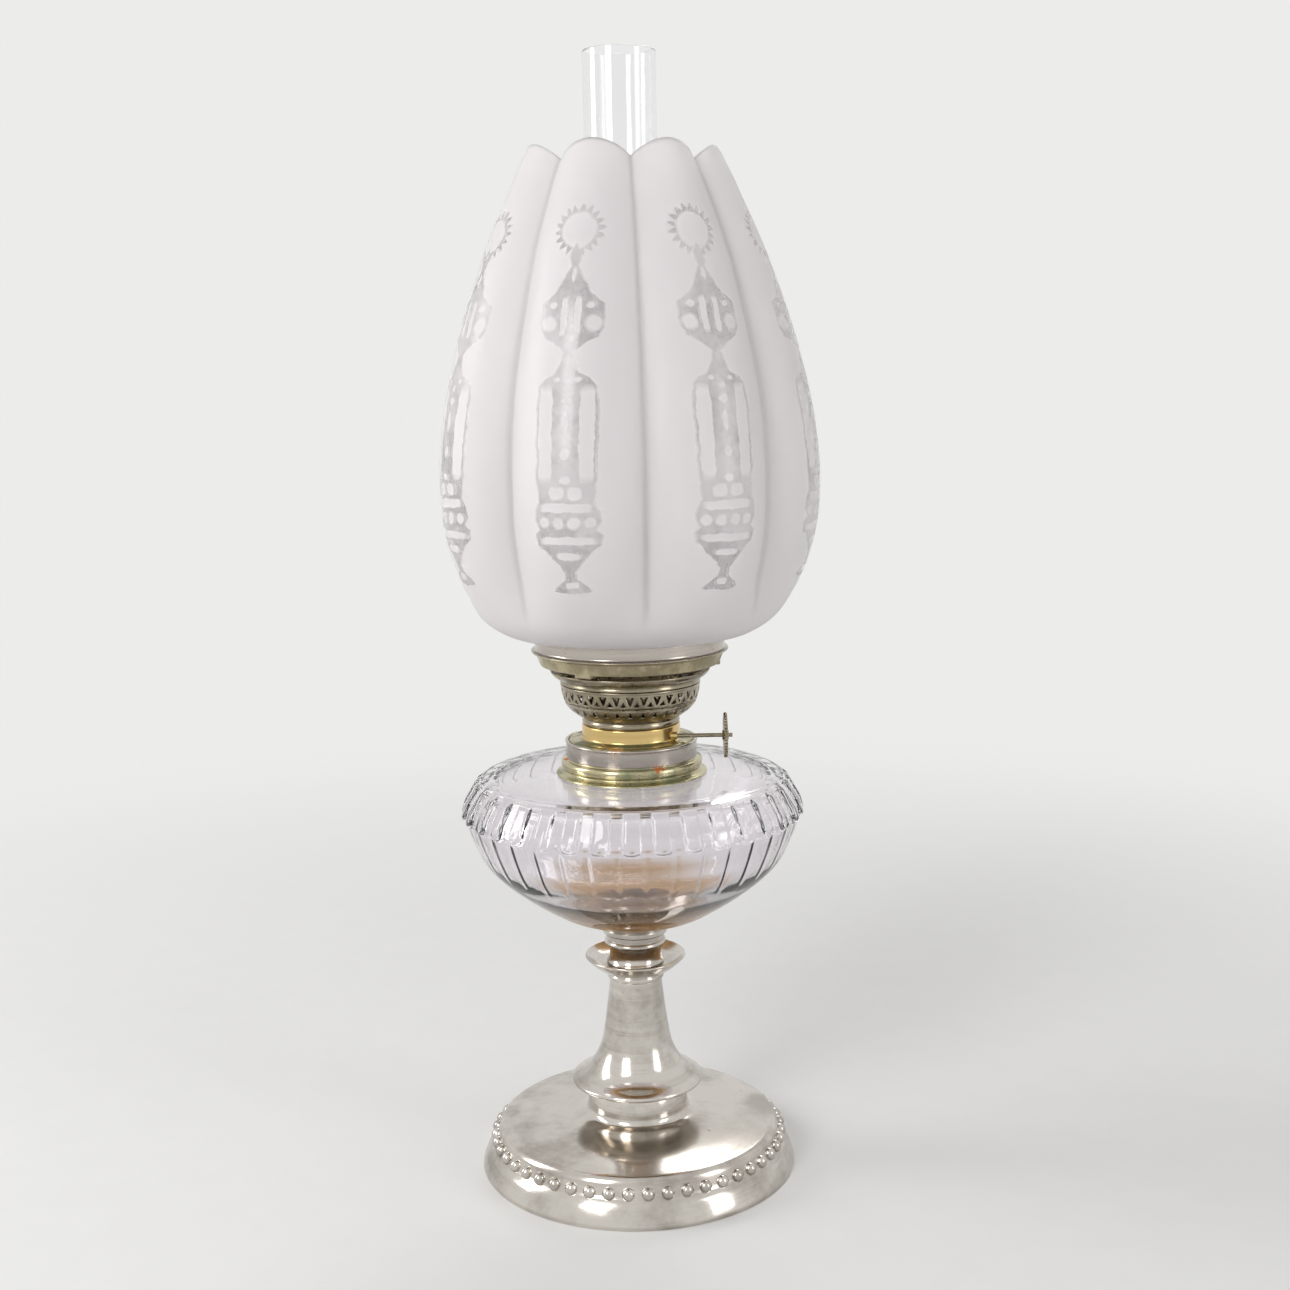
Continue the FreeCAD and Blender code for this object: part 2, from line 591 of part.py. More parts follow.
def font_glass():
    """Pressed glass font: a wide bowl, a band of flutes, a flat top and the neck in the collar."""
    low, high = f"{PEG_FOOT} + font_wide_height", f"{PEG_FOOT} + shoulder_height"
    neck_top = f"{FONT_TOP} + font_neck_height"
    wide = "font_radius + flute_depth"
    body = panel("font_glass", wide, "flute_count", [
        ("0", PEG_FOOT),
        ("peg_radius", PEG_FOOT),
        ("peg_radius", f"{PEG_FOOT} + peg_height"),
        ("bowl_low_radius", f"{PEG_FOOT} + bowl_low_height"),
        ("bowl_mid_radius", f"{PEG_FOOT} + bowl_mid_height"),
        ("bowl_high_radius", f"{PEG_FOOT} + bowl_high_height"),
        ("font_radius", low),
        ("shoulder_radius", high),
        ("font_rim_radius", f"{FONT_TOP} - font_rim_drop"),
        ("collar_flange_radius", FONT_TOP),
        ("font_neck_radius", FONT_TOP),
        ("font_neck_radius", neck_top),
        ("0", neck_top),
    ])
    side, tip = "flute_width / 2", "flute_width / 4"
    pad(body, "flute", outline(body, "flute_outline", "YZ_Plane", [
        (side, high), ("-" + side, high), ("-" + side, f"{low} + {tip}"),
        ("-" + tip, low), (tip, low), (side, f"{low} + {tip}"),
    ]), f"{wide} + overrun")
    slot_through(body, "flute_face", [
        (wide, f"{low} - overrun"),
        (wide, low),
        ("shoulder_radius + flute_depth", high),
        ("shoulder_radius + flute_depth", f"{high} + overrun"),
        (f"{wide} + 2 * overrun", f"{high} + overrun"),
        (f"{wide} + 2 * overrun", f"{low} - overrun"),
    ])
    slot_through(body, "font_cavity", [
        ("-overrun", f"{PEG_FOOT} + bowl_low_height + font_wall"),
        ("bowl_low_radius - font_wall", f"{PEG_FOOT} + bowl_low_height + font_wall"),
        ("bowl_mid_radius - font_wall / 2", f"{PEG_FOOT} + bowl_mid_height + font_wall"),
        ("bowl_high_radius - font_wall", f"{PEG_FOOT} + bowl_high_height"),
        ("font_radius - font_wall", low),
        ("font_rim_radius - font_wall", f"{FONT_TOP} - font_rim_drop - font_wall"),
        ("font_mouth_radius", f"{FONT_TOP} - font_wall"),
        ("font_mouth_radius", f"{neck_top} + overrun"),
        ("-overrun", f"{neck_top} + overrun"),
    ])
    ring_of_panels(body, wide, "flute_count")
    return body


def collar():
    """Metal collar cemented on the font's neck, with the thread that takes the burner."""
    neck = "font_neck_radius + seat_clearance"
    neck_top = f"{FONT_TOP} + font_neck_height + seat_clearance"
    return turned("collar", "collar_flange_radius", [
        (neck, FONT_TOP),
        ("collar_flange_radius", FONT_TOP),
        ("collar_bead_radius", f"{FONT_TOP} + collar_bead_base"),
        ("collar_bead_radius", f"{FONT_TOP} + collar_bead_top"),
        ("collar_radius", f"{FONT_TOP} + collar_bead_top"),
        ("collar_radius", COLLAR_TOP),
        ("collar_recess_radius", COLLAR_TOP),
        ("collar_recess_radius", FLANGE_FOOT),
        ("thread_radius", FLANGE_FOOT),
        ("thread_radius", neck_top),
        (neck, neck_top),
    ])


def burner_base():
    """Burner's foot: threaded skirt, flange, bright wall with the winder's hole, and the deck."""
    skirt = "thread_radius - screw_clearance"
    inside = "base_wall_radius - base_wall"
    flange = "collar_recess_radius - seat_clearance"
    body = turned("burner_base", flange, [
        (f"{skirt} - skirt_wall", f"{FLANGE_FOOT} - skirt_depth"),
        (skirt, f"{FLANGE_FOOT} - skirt_depth"),
        (skirt, FLANGE_FOOT),
        (flange, FLANGE_FOOT),
        (flange, f"{FLANGE_FOOT} + base_flange_thickness"),
        ("base_wall_radius", f"{FLANGE_FOOT} + base_flange_thickness"),
        ("base_wall_radius", DECK),
        ("outer_tube_radius", DECK),
        ("outer_tube_radius", f"{DECK} - base_wall"),
        (inside, f"{DECK} - base_wall"),
        (inside, FLANGE_FOOT),
        (f"{skirt} - skirt_wall", FLANGE_FOOT),
    ])
    rim = circle(body, "winder_hole_rim", "YZ_Plane", "-winder_offset", WINDER_LEVEL, SLEEVE_RADIUS)
    pocket(body, "winder_hole", rim, "base_wall_radius + overrun")
    return body


def outer_tube():
    """Outer wick tube, with slots for the toothed wheels and a window for the air throat."""
    body = lathe("outer_tube", [
        ("outer_tube_radius - tube_wall", f"{DECK} - tube_below_deck"),
        ("outer_tube_radius", f"{DECK} - tube_below_deck"),
        ("outer_tube_radius", TUBE_TOP),
        ("outer_tube_radius - tube_wall", TUBE_TOP),
    ])
    reach = "outer_tube_radius + overrun"
    inner, outer = "sprocket_place - window_width / 2", "sprocket_place + window_width / 2"
    low, high = f"{WINDER_LEVEL} - window_height / 2", f"{WINDER_LEVEL} + window_height / 2"
    slots = outline(body, "sprocket_slot_outlines", "XZ_Plane",
                    rectangle(inner, outer, low, high), rectangle(f"-({outer})", f"-({inner})", low, high))
    pocket(body, "sprocket_slots", slots, reach)
    window = outline(body, "throat_window_outline", "XZ_Plane", rectangle(
        "-throat_width / 2", "throat_width / 2", THROAT_LOW, f"{THROAT_LOW} + throat_height"))
    pocket(body, "throat_window", window, reach, forward=False)
    return body


def inner_air_tube():
    """Inner air tube, closed at its foot, fed through a throat that crosses the wick's gap."""
    foot = f"({DECK} - air_tube_below_deck)"
    length = f"{TUBE_TOP} - {foot}"
    tube = solid("Cylinder", "air_tube_blank", ("0", "0", foot), Radius=AIR_TUBE_RADIUS, Height=length)
    throat = solid("Box", "throat_blank", ("-throat_width / 2", "0", THROAT_LOW),
                   Length="throat_width", Width="outer_tube_radius", Height="throat_height")
    bore = solid("Cylinder", "air_tube_bore", ("0", "0", f"{foot} + tube_wall"),
                 Radius=f"{AIR_TUBE_RADIUS} - tube_wall", Height=f"{length} + overrun")
    passage = solid("Box", "throat_passage",
                    ("-throat_width / 2 + tube_wall", "0", f"{THROAT_LOW} + tube_wall"),
                    Length="throat_width - 2 * tube_wall", Width="outer_tube_radius + overrun",
                    Height="throat_height - 2 * tube_wall")
    walls = joined("air_tube_walls", tube, throat)
    return without("inner_air_tube", walls, joined("air_tube_ways", bore, passage))


def wick():
    """Woven wick: rolled round the air tube with a gap for the throat, and a flat tail in the oil."""
    top = f"({TUBE_TOP} + wick_above_tube)"
    foot = f"({DECK} - tube_below_deck - wick_below_tube)"
    inner = f"({AIR_TUBE_RADIUS} + wick_clearance)"
    gap = "(throat_width / 2 + wick_clearance)"
    roll = solid("Cylinder", "wick_roll", ("0", "0", foot),
                 Radius=f"{inner} + wick_thickness", Height=f"{top} - {foot}")
    tail = solid("Box", "wick_tail",
                 ("-tail_width / 2", f"-{inner} - wick_thickness", f"{foot} + tail_lap - tail_length"),
                 Length="tail_width", Width="wick_thickness", Height="tail_length")
    bore = solid("Cylinder", "wick_bore", ("0", "0", f"{foot} - overrun"),
                 Radius=inner, Height=f"{top} - {foot} + 2 * overrun")
    split = solid("Box", "wick_split", ("-" + gap, "0", f"{foot} - overrun"),
                  Length=f"2 * {gap}", Width="outer_tube_radius + overrun",
                  Height=f"{top} - {foot} + 2 * overrun")
    return joined("wick", without("wick_rolled", roll, joined("wick_ways", bore, split)), tail)


def winder_shaft():
    """Steel shaft of the wick winder."""
    return solid("Cylinder", "winder_shaft", ("-winder_inner_end", "-winder_offset", WINDER_LEVEL), ALONG_X,
                 Radius="winder_radius", Height="winder_inner_end + winder_reach")


def winder_sleeve():
    """Short sleeve in the burner's wall that the shaft turns in."""
    blank = solid("Cylinder", "sleeve_blank", ("sleeve_place", "-winder_offset", WINDER_LEVEL), ALONG_X,
                  Radius=SLEEVE_RADIUS, Height="sleeve_length")
    bore = solid("Cylinder", "sleeve_bore",
                 ("sleeve_place - overrun", "-winder_offset", WINDER_LEVEL), ALONG_X,
                 Radius="winder_radius + running_clearance", Height="sleeve_length + 2 * overrun")
    return without("winder_sleeve", blank, bore)


def winder_bracket():
    """Folded bracket under the deck whose two cheeks steady the shaft."""
    top = f"({DECK} - base_wall)"
    strip = solid("Box", "bracket_web", ("-bracket_place", "-bracket_front", f"{top} - bracket_sheet"),
                  Length="2 * bracket_place", Width="bracket_strip", Height="bracket_sheet")
    cheeks = [
        solid("Box", name, (place, "-bracket_front", f"{top} - bracket_height"),
              Length="bracket_sheet", Width="bracket_front - bracket_back", Height="bracket_height")
        for name, place in (
            ("inner_cheek", "-bracket_place"), ("outer_cheek", "bracket_place - bracket_sheet"))
    ]
    bore = solid("Cylinder", "bracket_bore",
                 ("-bracket_place - overrun", "-winder_offset", WINDER_LEVEL), ALONG_X,
                 Radius="winder_radius + running_clearance", Height="2 * bracket_place + 2 * overrun")
    return without("winder_bracket", joined("bracket_walls", strip, *cheeks), bore)


def toothed_disc(label, teeth, tip, root, thickness, place):
    """Pad a disc with pointed teeth, bored for the winder's shaft, and set it on the shaft."""
    body = new_body(label)
    step = 360 / number(teeth)
    corners = []
    for tooth in range(int(number(teeth))):
        for radius, turn in ((tip, tooth * step), (root, (tooth + 0.5) * step)):
            corners.append((f"{radius} * cos({turn})", f"{radius} * sin({turn})"))
    pad(body, label + "_disc", outline(body, label + "_outline", "YZ_Plane", corners), thickness)
    rim = circle(body, label + "_bore_rim", "YZ_Plane", "0", "0", "winder_radius")
    pocket(body, label + "_bore", rim, f"{thickness} + overrun")
    for axis, formula in zip("xyz", (place, "-winder_offset", WINDER_LEVEL)):
        body.setExpression("Placement.Base." + axis, bound(formula))
    return body


def sprocket(label, middle):
    """Small toothed wheel that moves the wick."""
    return toothed_disc(label, "sprocket_teeth", "sprocket_radius", "sprocket_root", "sprocket_thickness",
                        f"{middle} - sprocket_thickness / 2")


def thumb_wheel():
    """Thin milled wheel outside the burner that turns the winder."""
    return toothed_disc("thumb_wheel", "thumb_wheel_teeth", "thumb_wheel_radius",
                        "(thumb_wheel_radius - thumb_wheel_tooth)", "thumb_wheel_thickness",
                        "thumb_wheel_place")


def air_basket():
    """Pierced basket that lets the air to the flame: a plain foot under a bowl of cut-outs."""
    low, high = f"{DECK} + basket_low_height", f"{DECK} + basket_high_height"
    foot_top = f"{DECK} + basket_foot_height"
    body = panel("air_basket", "basket_rim_radius", "basket_periods", [
        ("basket_foot_radius - basket_wall", DECK),
        ("basket_foot_radius", DECK),
        ("basket_foot_radius", foot_top),
        ("basket_low_radius", low),
        ("basket_high_radius", high),
        ("basket_rim_radius", BASKET_TOP),
        ("basket_rim_radius - basket_wall", BASKET_TOP),
        ("basket_high_radius - basket_wall", high),
        ("basket_low_radius - basket_wall", low),
        ("basket_foot_radius - basket_wall", foot_top),
    ])
    aside = "basket_high_radius * tan(180 / basket_periods)"
    vee = [
        ("-vee_width / 2", f"{DECK} + vee_top"), ("vee_arm - vee_width / 2", f"{DECK} + vee_top"),
        ("0", f"{DECK} + vee_notch"), ("vee_width / 2 - vee_arm", f"{DECK} + vee_top"),
        ("vee_width / 2", f"{DECK} + vee_top"), ("0", f"{DECK} + vee_point"),
    ]
    tent = [
        ("-tent_width / 2", f"{DECK} + tent_base"), ("tent_width / 2", f"{DECK} + tent_base"),
        ("0", f"{DECK} + tent_top"),
    ]
    halves = []
    for way in ("-", ""):
        edge = way + aside
        halves.append([
            (f"{edge} - gable_width / 2", f"{DECK} + gable_base"),
            (f"{edge} + gable_width / 2", f"{DECK} + gable_base"),
            (edge, f"{DECK} + gable_top"),
        ])
        halves.append([
            (f"{edge} - eye_width / 2", f"{DECK} + eye_level"),
            (edge, f"{DECK} + eye_level - eye_height / 2"),
            (f"{edge} + eye_width / 2", f"{DECK} + eye_level"),
            (edge, f"{DECK} + eye_level + eye_height / 2"),
        ])
    holes = outline(body, "basket_hole_outlines", "YZ_Plane", vee, tent, *halves)
    pocket(body, "basket_holes", holes, "basket_rim_radius + overrun")
    ring_of_panels(body, "basket_rim_radius", "basket_periods")
    return body


def gallery():
    """Dished gallery on the basket's rim, with the floor that the chimney stands on."""
    return turned("gallery", "gallery_rim_radius", [
        ("gallery_hole_radius", BASKET_TOP),
        ("gallery_neck_radius", BASKET_TOP),
        ("gallery_neck_radius", f"{BASKET_TOP} + gallery_bead"),
        ("gallery_rim_radius", GALLERY_RIM),
        ("gallery_rim_radius - gallery_floor", GALLERY_RIM),
        ("gallery_neck_radius - gallery_floor", CHIMNEY_FOOT),
        ("gallery_hole_radius", CHIMNEY_FOOT),
    ])


def spring_crown():
    """Ring of flat spring fingers round the chimney's foot."""
    body = new_body("spring_crown")
    loops = []
    inside = "chimney_foot_radius + seat_clearance"
    for reach in (f"({inside} + crown_wall)", f"({inside})"):
        corner = f"{reach} / cos(180 / finger_count)"
        loops.append([
            (f"{corner} * cos({index} * 360 / finger_count)", f"{corner} * sin({index} * 360 / finger_count)")
            for index in range(int(number("finger_count")))
        ])
    pad(body, "crown_walls", outline(body, "crown_outline", "XY_Plane", *loops), "crown_height")
    gap = outline(body, "finger_gap_outline", "YZ_Plane",
                  rectangle("-finger_gap / 2", "finger_gap / 2", "crown_band", "crown_height + overrun"))
    round_the_axis(body, [pocket(body, "finger_gap", gap, "gallery_rim_radius")], "finger_count")
    body.setExpression("Placement.Base.z", bound(CHIMNEY_FOOT))
    return body


def chimney():
    """Clear glass chimney: straight foot, sharp waist over the flame, long tube."""
    outside = [
        ("chimney_foot_radius", CHIMNEY_FOOT),
        ("chimney_foot_radius", f"{CHIMNEY_FOOT} + chimney_foot_height"),
        ("chimney_waist_radius", f"{CHIMNEY_FOOT} + chimney_waist_height"),
        ("chimney_radius", f"{CHIMNEY_FOOT} + chimney_tube_height"),
        ("chimney_radius", f"{CHIMNEY_FOOT} + chimney_height"),
    ]
    inside = [(f"{radius} - chimney_wall", level) for radius, level in outside[::-1]]
    return lathe("chimney", outside + inside)


def shade_ring():
    """Ring that the shade stands in, with a lip, a ledge, and arms that rest on the gallery."""
    band = "ring_radius - ring_sheet"
    lip = f"{RING_FOOT} + ring_foot_height"
    body = turned("shade_ring", "ring_lip_radius", [
        ("ring_foot_radius - ring_sheet", RING_FOOT),
        ("ring_foot_radius", RING_FOOT),
        ("ring_radius", lip),
        ("ring_lip_radius", f"{lip} + ring_lip / 2"),
        ("ring_radius", f"{lip} + ring_lip"),
        ("ring_radius", f"{RING_FOOT} + ring_height"),
        (band, f"{RING_FOOT} + ring_height"),
        (band, RING_LEDGE),
        (f"{band} - ring_ledge_width", RING_LEDGE),
        (f"{band} - ring_ledge_width", f"{RING_LEDGE} - ring_sheet"),
    ])
    sketch = outline(body, "arm_outline", "XY_Plane", rectangle(
        "arm_inner_radius", "ring_foot_radius - ring_sheet / 2", "-arm_width / 2", "arm_width / 2"))
    sketch.setExpression("AttachmentOffset.Base.z", bound(GALLERY_RIM))
    round_the_axis(body, [pad(body, "arm", sketch, "arm_thickness")], "arm_count")
    return body


def lobe_line():
    """Return the centre line of a lobe's back, which runs one lobe radius inside the crest."""
    crest = [
        Vector(number(f"shade_{reach}"), 0, number(f"{RING_LEDGE} + shade_{level}"))
        for reach, level in (
            ("knee_radius", "knee_height"), ("radius", "wide_height"), ("high_radius", "high_height"),
            ("upper_radius", "upper_height"), ("neck_radius", "neck_height"), ("rim_radius", "height"))
    ]
    rise = (crest[-1] - crest[-2]).normalize()
    foot = Vector(crest[0].x, 0, number(f"{RING_LEDGE} - 2 * overrun"))
    crest = [foot] + crest + [crest[-1] + rise * number("4 * overrun")]
    ways = [(after - before).normalize() for before, after in zip(crest, crest[1:])]
    centres = []
    for spot, before, after in zip(crest, ways[:1] + ways, ways + ways[-1:]):
        inward = [Vector(-way.z, 0, way.x) for way in (before, after)]
        middle = (inward[0] + inward[1]).normalize()
        centres.append(spot + middle * (number("lobe_radius") / middle.dot(inward[0])))
    return centres


def lobe_tube(centres, radius):
    """Sweep a round along the centre line of a lobe's back, with mitred corners."""
    sides = int(number("lobe_sides"))
    turns = [math.radians(360 * side / sides) for side in range(sides + 1)]
    ring = Part.makePolygon([
        centres[0] + Vector(radius * math.cos(turn), radius * math.sin(turn), 0) for turn in turns])
    return Part.makePolygon(centres).makePipeShell([ring], True, False, 1)


def lobe_core(centres, lobe):
    """Return the block between the lamp's axis and the inner side of a lobe's centre line."""
    edge = [Vector(max(spot.x - lobe / 4, number("overrun")), -lobe, spot.z) for spot in centres]
    corners = [Vector(0, -lobe, edge[0].z)] + edge + [Vector(0, -lobe, edge[-1].z)]
    return Part.Face(Part.makePolygon(corners + corners[:1])).extrude(Vector(0, 2 * lobe, 0))


def shade_bar(inset, drop):
    """Draw one straight panel of the round bowl that closes the lobes below, drawn in by an inset."""
    wide, top = "shade_radius + overrun", "shade_height + overrun"
    outside = [
        ("0", f"-{drop}"),
        (f"shade_foot_radius - {inset}", f"-{drop}"),
        (f"shade_foot_radius - {inset}", f"shade_foot_height + {inset}"),
        (f"shade_sole_radius - {inset} / 2", f"shade_sole_height + {inset}"),
        (f"shade_low_radius - {inset}", f"shade_low_height + {inset} / 2"),
        (f"shade_bowl_radius - {inset}", "shade_bowl_height"),
        (f"shade_knee_radius - {inset}", "shade_knee_height"),
        (f"{wide} - {inset}", "shade_wide_height"),
        (f"{wide} - {inset}", top),
        ("0", top),
    ]
    half = number("lobe_radius")
    corners = [Vector(number(reach), -half, number(f"{RING_LEDGE} + {level}")) for reach, level in outside]
    return Part.Face(Part.makePolygon(corners + corners[:1])).extrude(Vector(0, 2 * half, 0))


def wedge(half_turn, reach, low, high):
    """Return an upright wedge with its edge on the lamp's axis, open towards +X."""
    side = reach * math.tan(math.radians(half_turn))
    corners = [Vector(0, 0, low), Vector(reach, -side, low), Vector(reach, side, low), Vector(0, 0, low)]
    return Part.Face(Part.makePolygon(corners)).extrude(Vector(0, 0, high - low))


def shade():
    """Tall glass shade of eight lobes, closed below by a round bowl, with a scalloped rim."""
    item = doc.addObject("Part::Feature", "shade")
    lobe, wall, overrun = number("lobe_radius"), number("shade_wall"), number("overrun")
    foot, top = number(f"{RING_LEDGE} - overrun"), number(f"{RING_LEDGE} + shade_height")
    reach = number("shade_radius") + 2 * overrun
    half_turn = 180 / number("lobe_count")
    half_rim = number("shade_rim_radius") * math.sin(math.radians(half_turn))
    depth = number("scallop_depth")
    arch_radius = (half_rim ** 2 + depth ** 2) / (2 * depth)
    arch = Part.makeCylinder(arch_radius, reach, Vector(0, 0, top - arch_radius), Vector(1, 0, 0))
    below = Part.makeBox(reach, 2 * reach, top - arch_radius - foot, Vector(0, -reach, foot))
    centres = lobe_line()
    skin = lobe_tube(centres, lobe).common(below.fuse(arch))
    hollow = lobe_tube(centres, lobe - wall)
    core = lobe_core(centres, lobe)
    panels = int(number("lobe_panels"))
    step = 2 * half_turn / panels
    pieces = []
    for index in range(panels):
        turn = step * (index - (panels - 1) / 2)
        outside, inside, cut = shade_bar("0", "0"), shade_bar("shade_wall", "overrun"), wedge(
            step / 2, reach, foot, top + overrun)
        for shape in (outside, inside, cut):
            shape.rotate(Vector(), UP, turn)
        pieces.append(skin.common(outside).common(cut).cut([hollow.common(inside), core.common(inside)]))
    sector = pieces[0].multiFuse(pieces[1:]).removeSplitter()
    sectors = []
    for index in range(int(number("lobe_count"))):
        copy = sector.copy()
        copy.rotate(Vector(), UP, number("lobe_turn") - 90 + 2 * half_turn * index)
        sectors.append(copy)
    item.Shape = sectors[0].multiFuse(sectors[1:]).removeSplitter()
    return item


def write_parts(parts):
    """Check every object and sub-part, then write each sub-part to its own file."""
    doc.recompute()
    for item in doc.Objects:
        if any(word in item.State for word in ("Invalid", "Error")):
            raise RuntimeError(f"{item.Label} failed: {item.State}")
    for part in parts:
        if part.Shape.isNull() or not part.Shape.isValid():
            raise RuntimeError(f"{part.Label} has no valid shape")
    os.makedirs("parts", exist_ok=True)
    for part in parts:
        part.Shape.exportStep(f"parts/{part.Label}.step")
        print(f"{part.Label}: {len(part.Shape.Solids)} solid(s), {part.Shape.Volume / 1000:.2f} cm3")


fill_sheet()
write_parts([
    foot_shell(), clamp_plate(), tie_rod(), tie_nut(), stem_column(), drip_dish(), neck_spool(), font_cup(),
    font_glass(), collar(), burner_base(), outer_tube(), inner_air_tube(), wick(), winder_shaft(),
    winder_sleeve(), winder_bracket(), sprocket("inner_sprocket", "-sprocket_place"),
    sprocket("outer_sprocket", "sprocket_place"), thumb_wheel(), air_basket(), gallery(), spring_crown(),
    chimney(), shade_ring(), shade(),
])
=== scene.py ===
"""Looks of a paraffin table lamp: plated foot, glass font, round-wick burner and a tall lobed shade."""
import logging
import math
from dataclasses import dataclass
from enum import Enum
from typing import Any, Sequence

import bmesh
import bpy
import numpy as np
from mathutils import Matrix, Vector
from mathutils.geometry import tessellate_polygon


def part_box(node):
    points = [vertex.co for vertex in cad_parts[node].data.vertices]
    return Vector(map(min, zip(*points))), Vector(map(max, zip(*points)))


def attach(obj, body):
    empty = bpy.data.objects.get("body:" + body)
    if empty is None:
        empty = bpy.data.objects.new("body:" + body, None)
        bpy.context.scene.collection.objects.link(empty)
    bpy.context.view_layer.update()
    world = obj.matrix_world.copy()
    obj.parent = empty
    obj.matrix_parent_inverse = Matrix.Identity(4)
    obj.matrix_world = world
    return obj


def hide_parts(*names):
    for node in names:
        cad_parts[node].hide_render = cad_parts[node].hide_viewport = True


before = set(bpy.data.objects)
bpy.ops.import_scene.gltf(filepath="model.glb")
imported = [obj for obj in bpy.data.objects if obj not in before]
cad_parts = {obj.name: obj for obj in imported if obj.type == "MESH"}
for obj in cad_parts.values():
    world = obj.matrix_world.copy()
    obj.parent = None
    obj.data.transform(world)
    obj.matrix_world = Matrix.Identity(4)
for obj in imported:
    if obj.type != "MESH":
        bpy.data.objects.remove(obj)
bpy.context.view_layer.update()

logging.basicConfig(level=logging.INFO, format="%(message)s")
LOG = logging.getLogger("table_lamp")

MM = 0.001
TURN = 2 * math.pi
# Points closer together than these, in metres, are joined: in any mesh, and along the basket's seams.
SAME_POINT = 2e-6
SAME_SEAM = 2e-5
# An edge shorter than this, in metres, is taken out.
NO_LENGTH = 1e-7
PALE = (0.84, 0.84, 0.83, 1.0)
Corner = tuple[float, float, float]
Axes = tuple[float, float, float]
Colour = tuple[float, float, float]
Span = tuple[float, float]


class Body(Enum):
    """The moving bodies of the lamp."""

    LAMP = "lamp"
    BURNER = "burner"
    WINDER = "winder"
    WICK = "wick"
    GALLERY = "gallery"
    CHIMNEY = "chimney"
    SHADE_RING = "shade_ring"
    SHADE = "shade"


class Slot(Enum):
    """The material slots of the pieces that are made here."""

    SILVER = "silver_plate"
    CLEAR_GLASS = "clear_glass"
    FROSTED_GLASS = "frosted_glass"
    AGED_BRASS = "aged_brass"
    BRIGHT_BRASS = "bright_brass"
    BURNER_METAL = "burner_metal"
    COTTON = "wick_cotton"


class Axis(Enum):
    """The axes that a pattern is read along, by their place in a position."""

    X = 0
    Z = 2


# Materials


@dataclass(frozen=True)
class Grain:
    """One fractal noise: spots to a metre, its finer layers and their strength, and a stretch by axes."""

    scale: float
    detail: float
    rough: float
    stretch: Axes = (1, 1, 1)


class Value:
    """One socket of a material, with arithmetic that adds the Math nodes."""

    def __init__(self, paint: "Paint", socket: bpy.types.NodeSocket) -> None:
        """Keep the material and the socket."""
        self.paint = paint
        self.socket = socket

    def __add__(self, other: "Value | float") -> "Value":
        """Sum of two values."""
        return self.paint.math("ADD", self, other)

    __radd__ = __add__

    def __sub__(self, other: "Value | float") -> "Value":
        """This value less another."""
        return self.paint.math("SUBTRACT", self, other)

    def __rsub__(self, other: float) -> "Value":
        """A number less this value."""
        return self.paint.math("SUBTRACT", other, self)

    def __mul__(self, other: "Value | float") -> "Value":
        """Product of two values."""
        return self.paint.math("MULTIPLY", self, other)

    __rmul__ = __mul__

    def __truediv__(self, other: "Value | float") -> "Value":
        """This value divided by another."""
        return self.paint.math("DIVIDE", self, other)

    def __pow__(self, other: "Value | float") -> "Value":
        """This value raised to a power."""
        return self.paint.math("POWER", self, other)

    def __abs__(self) -> "Value":
        """Size of this value without its sign."""
        return self.paint.math("ABSOLUTE", self)


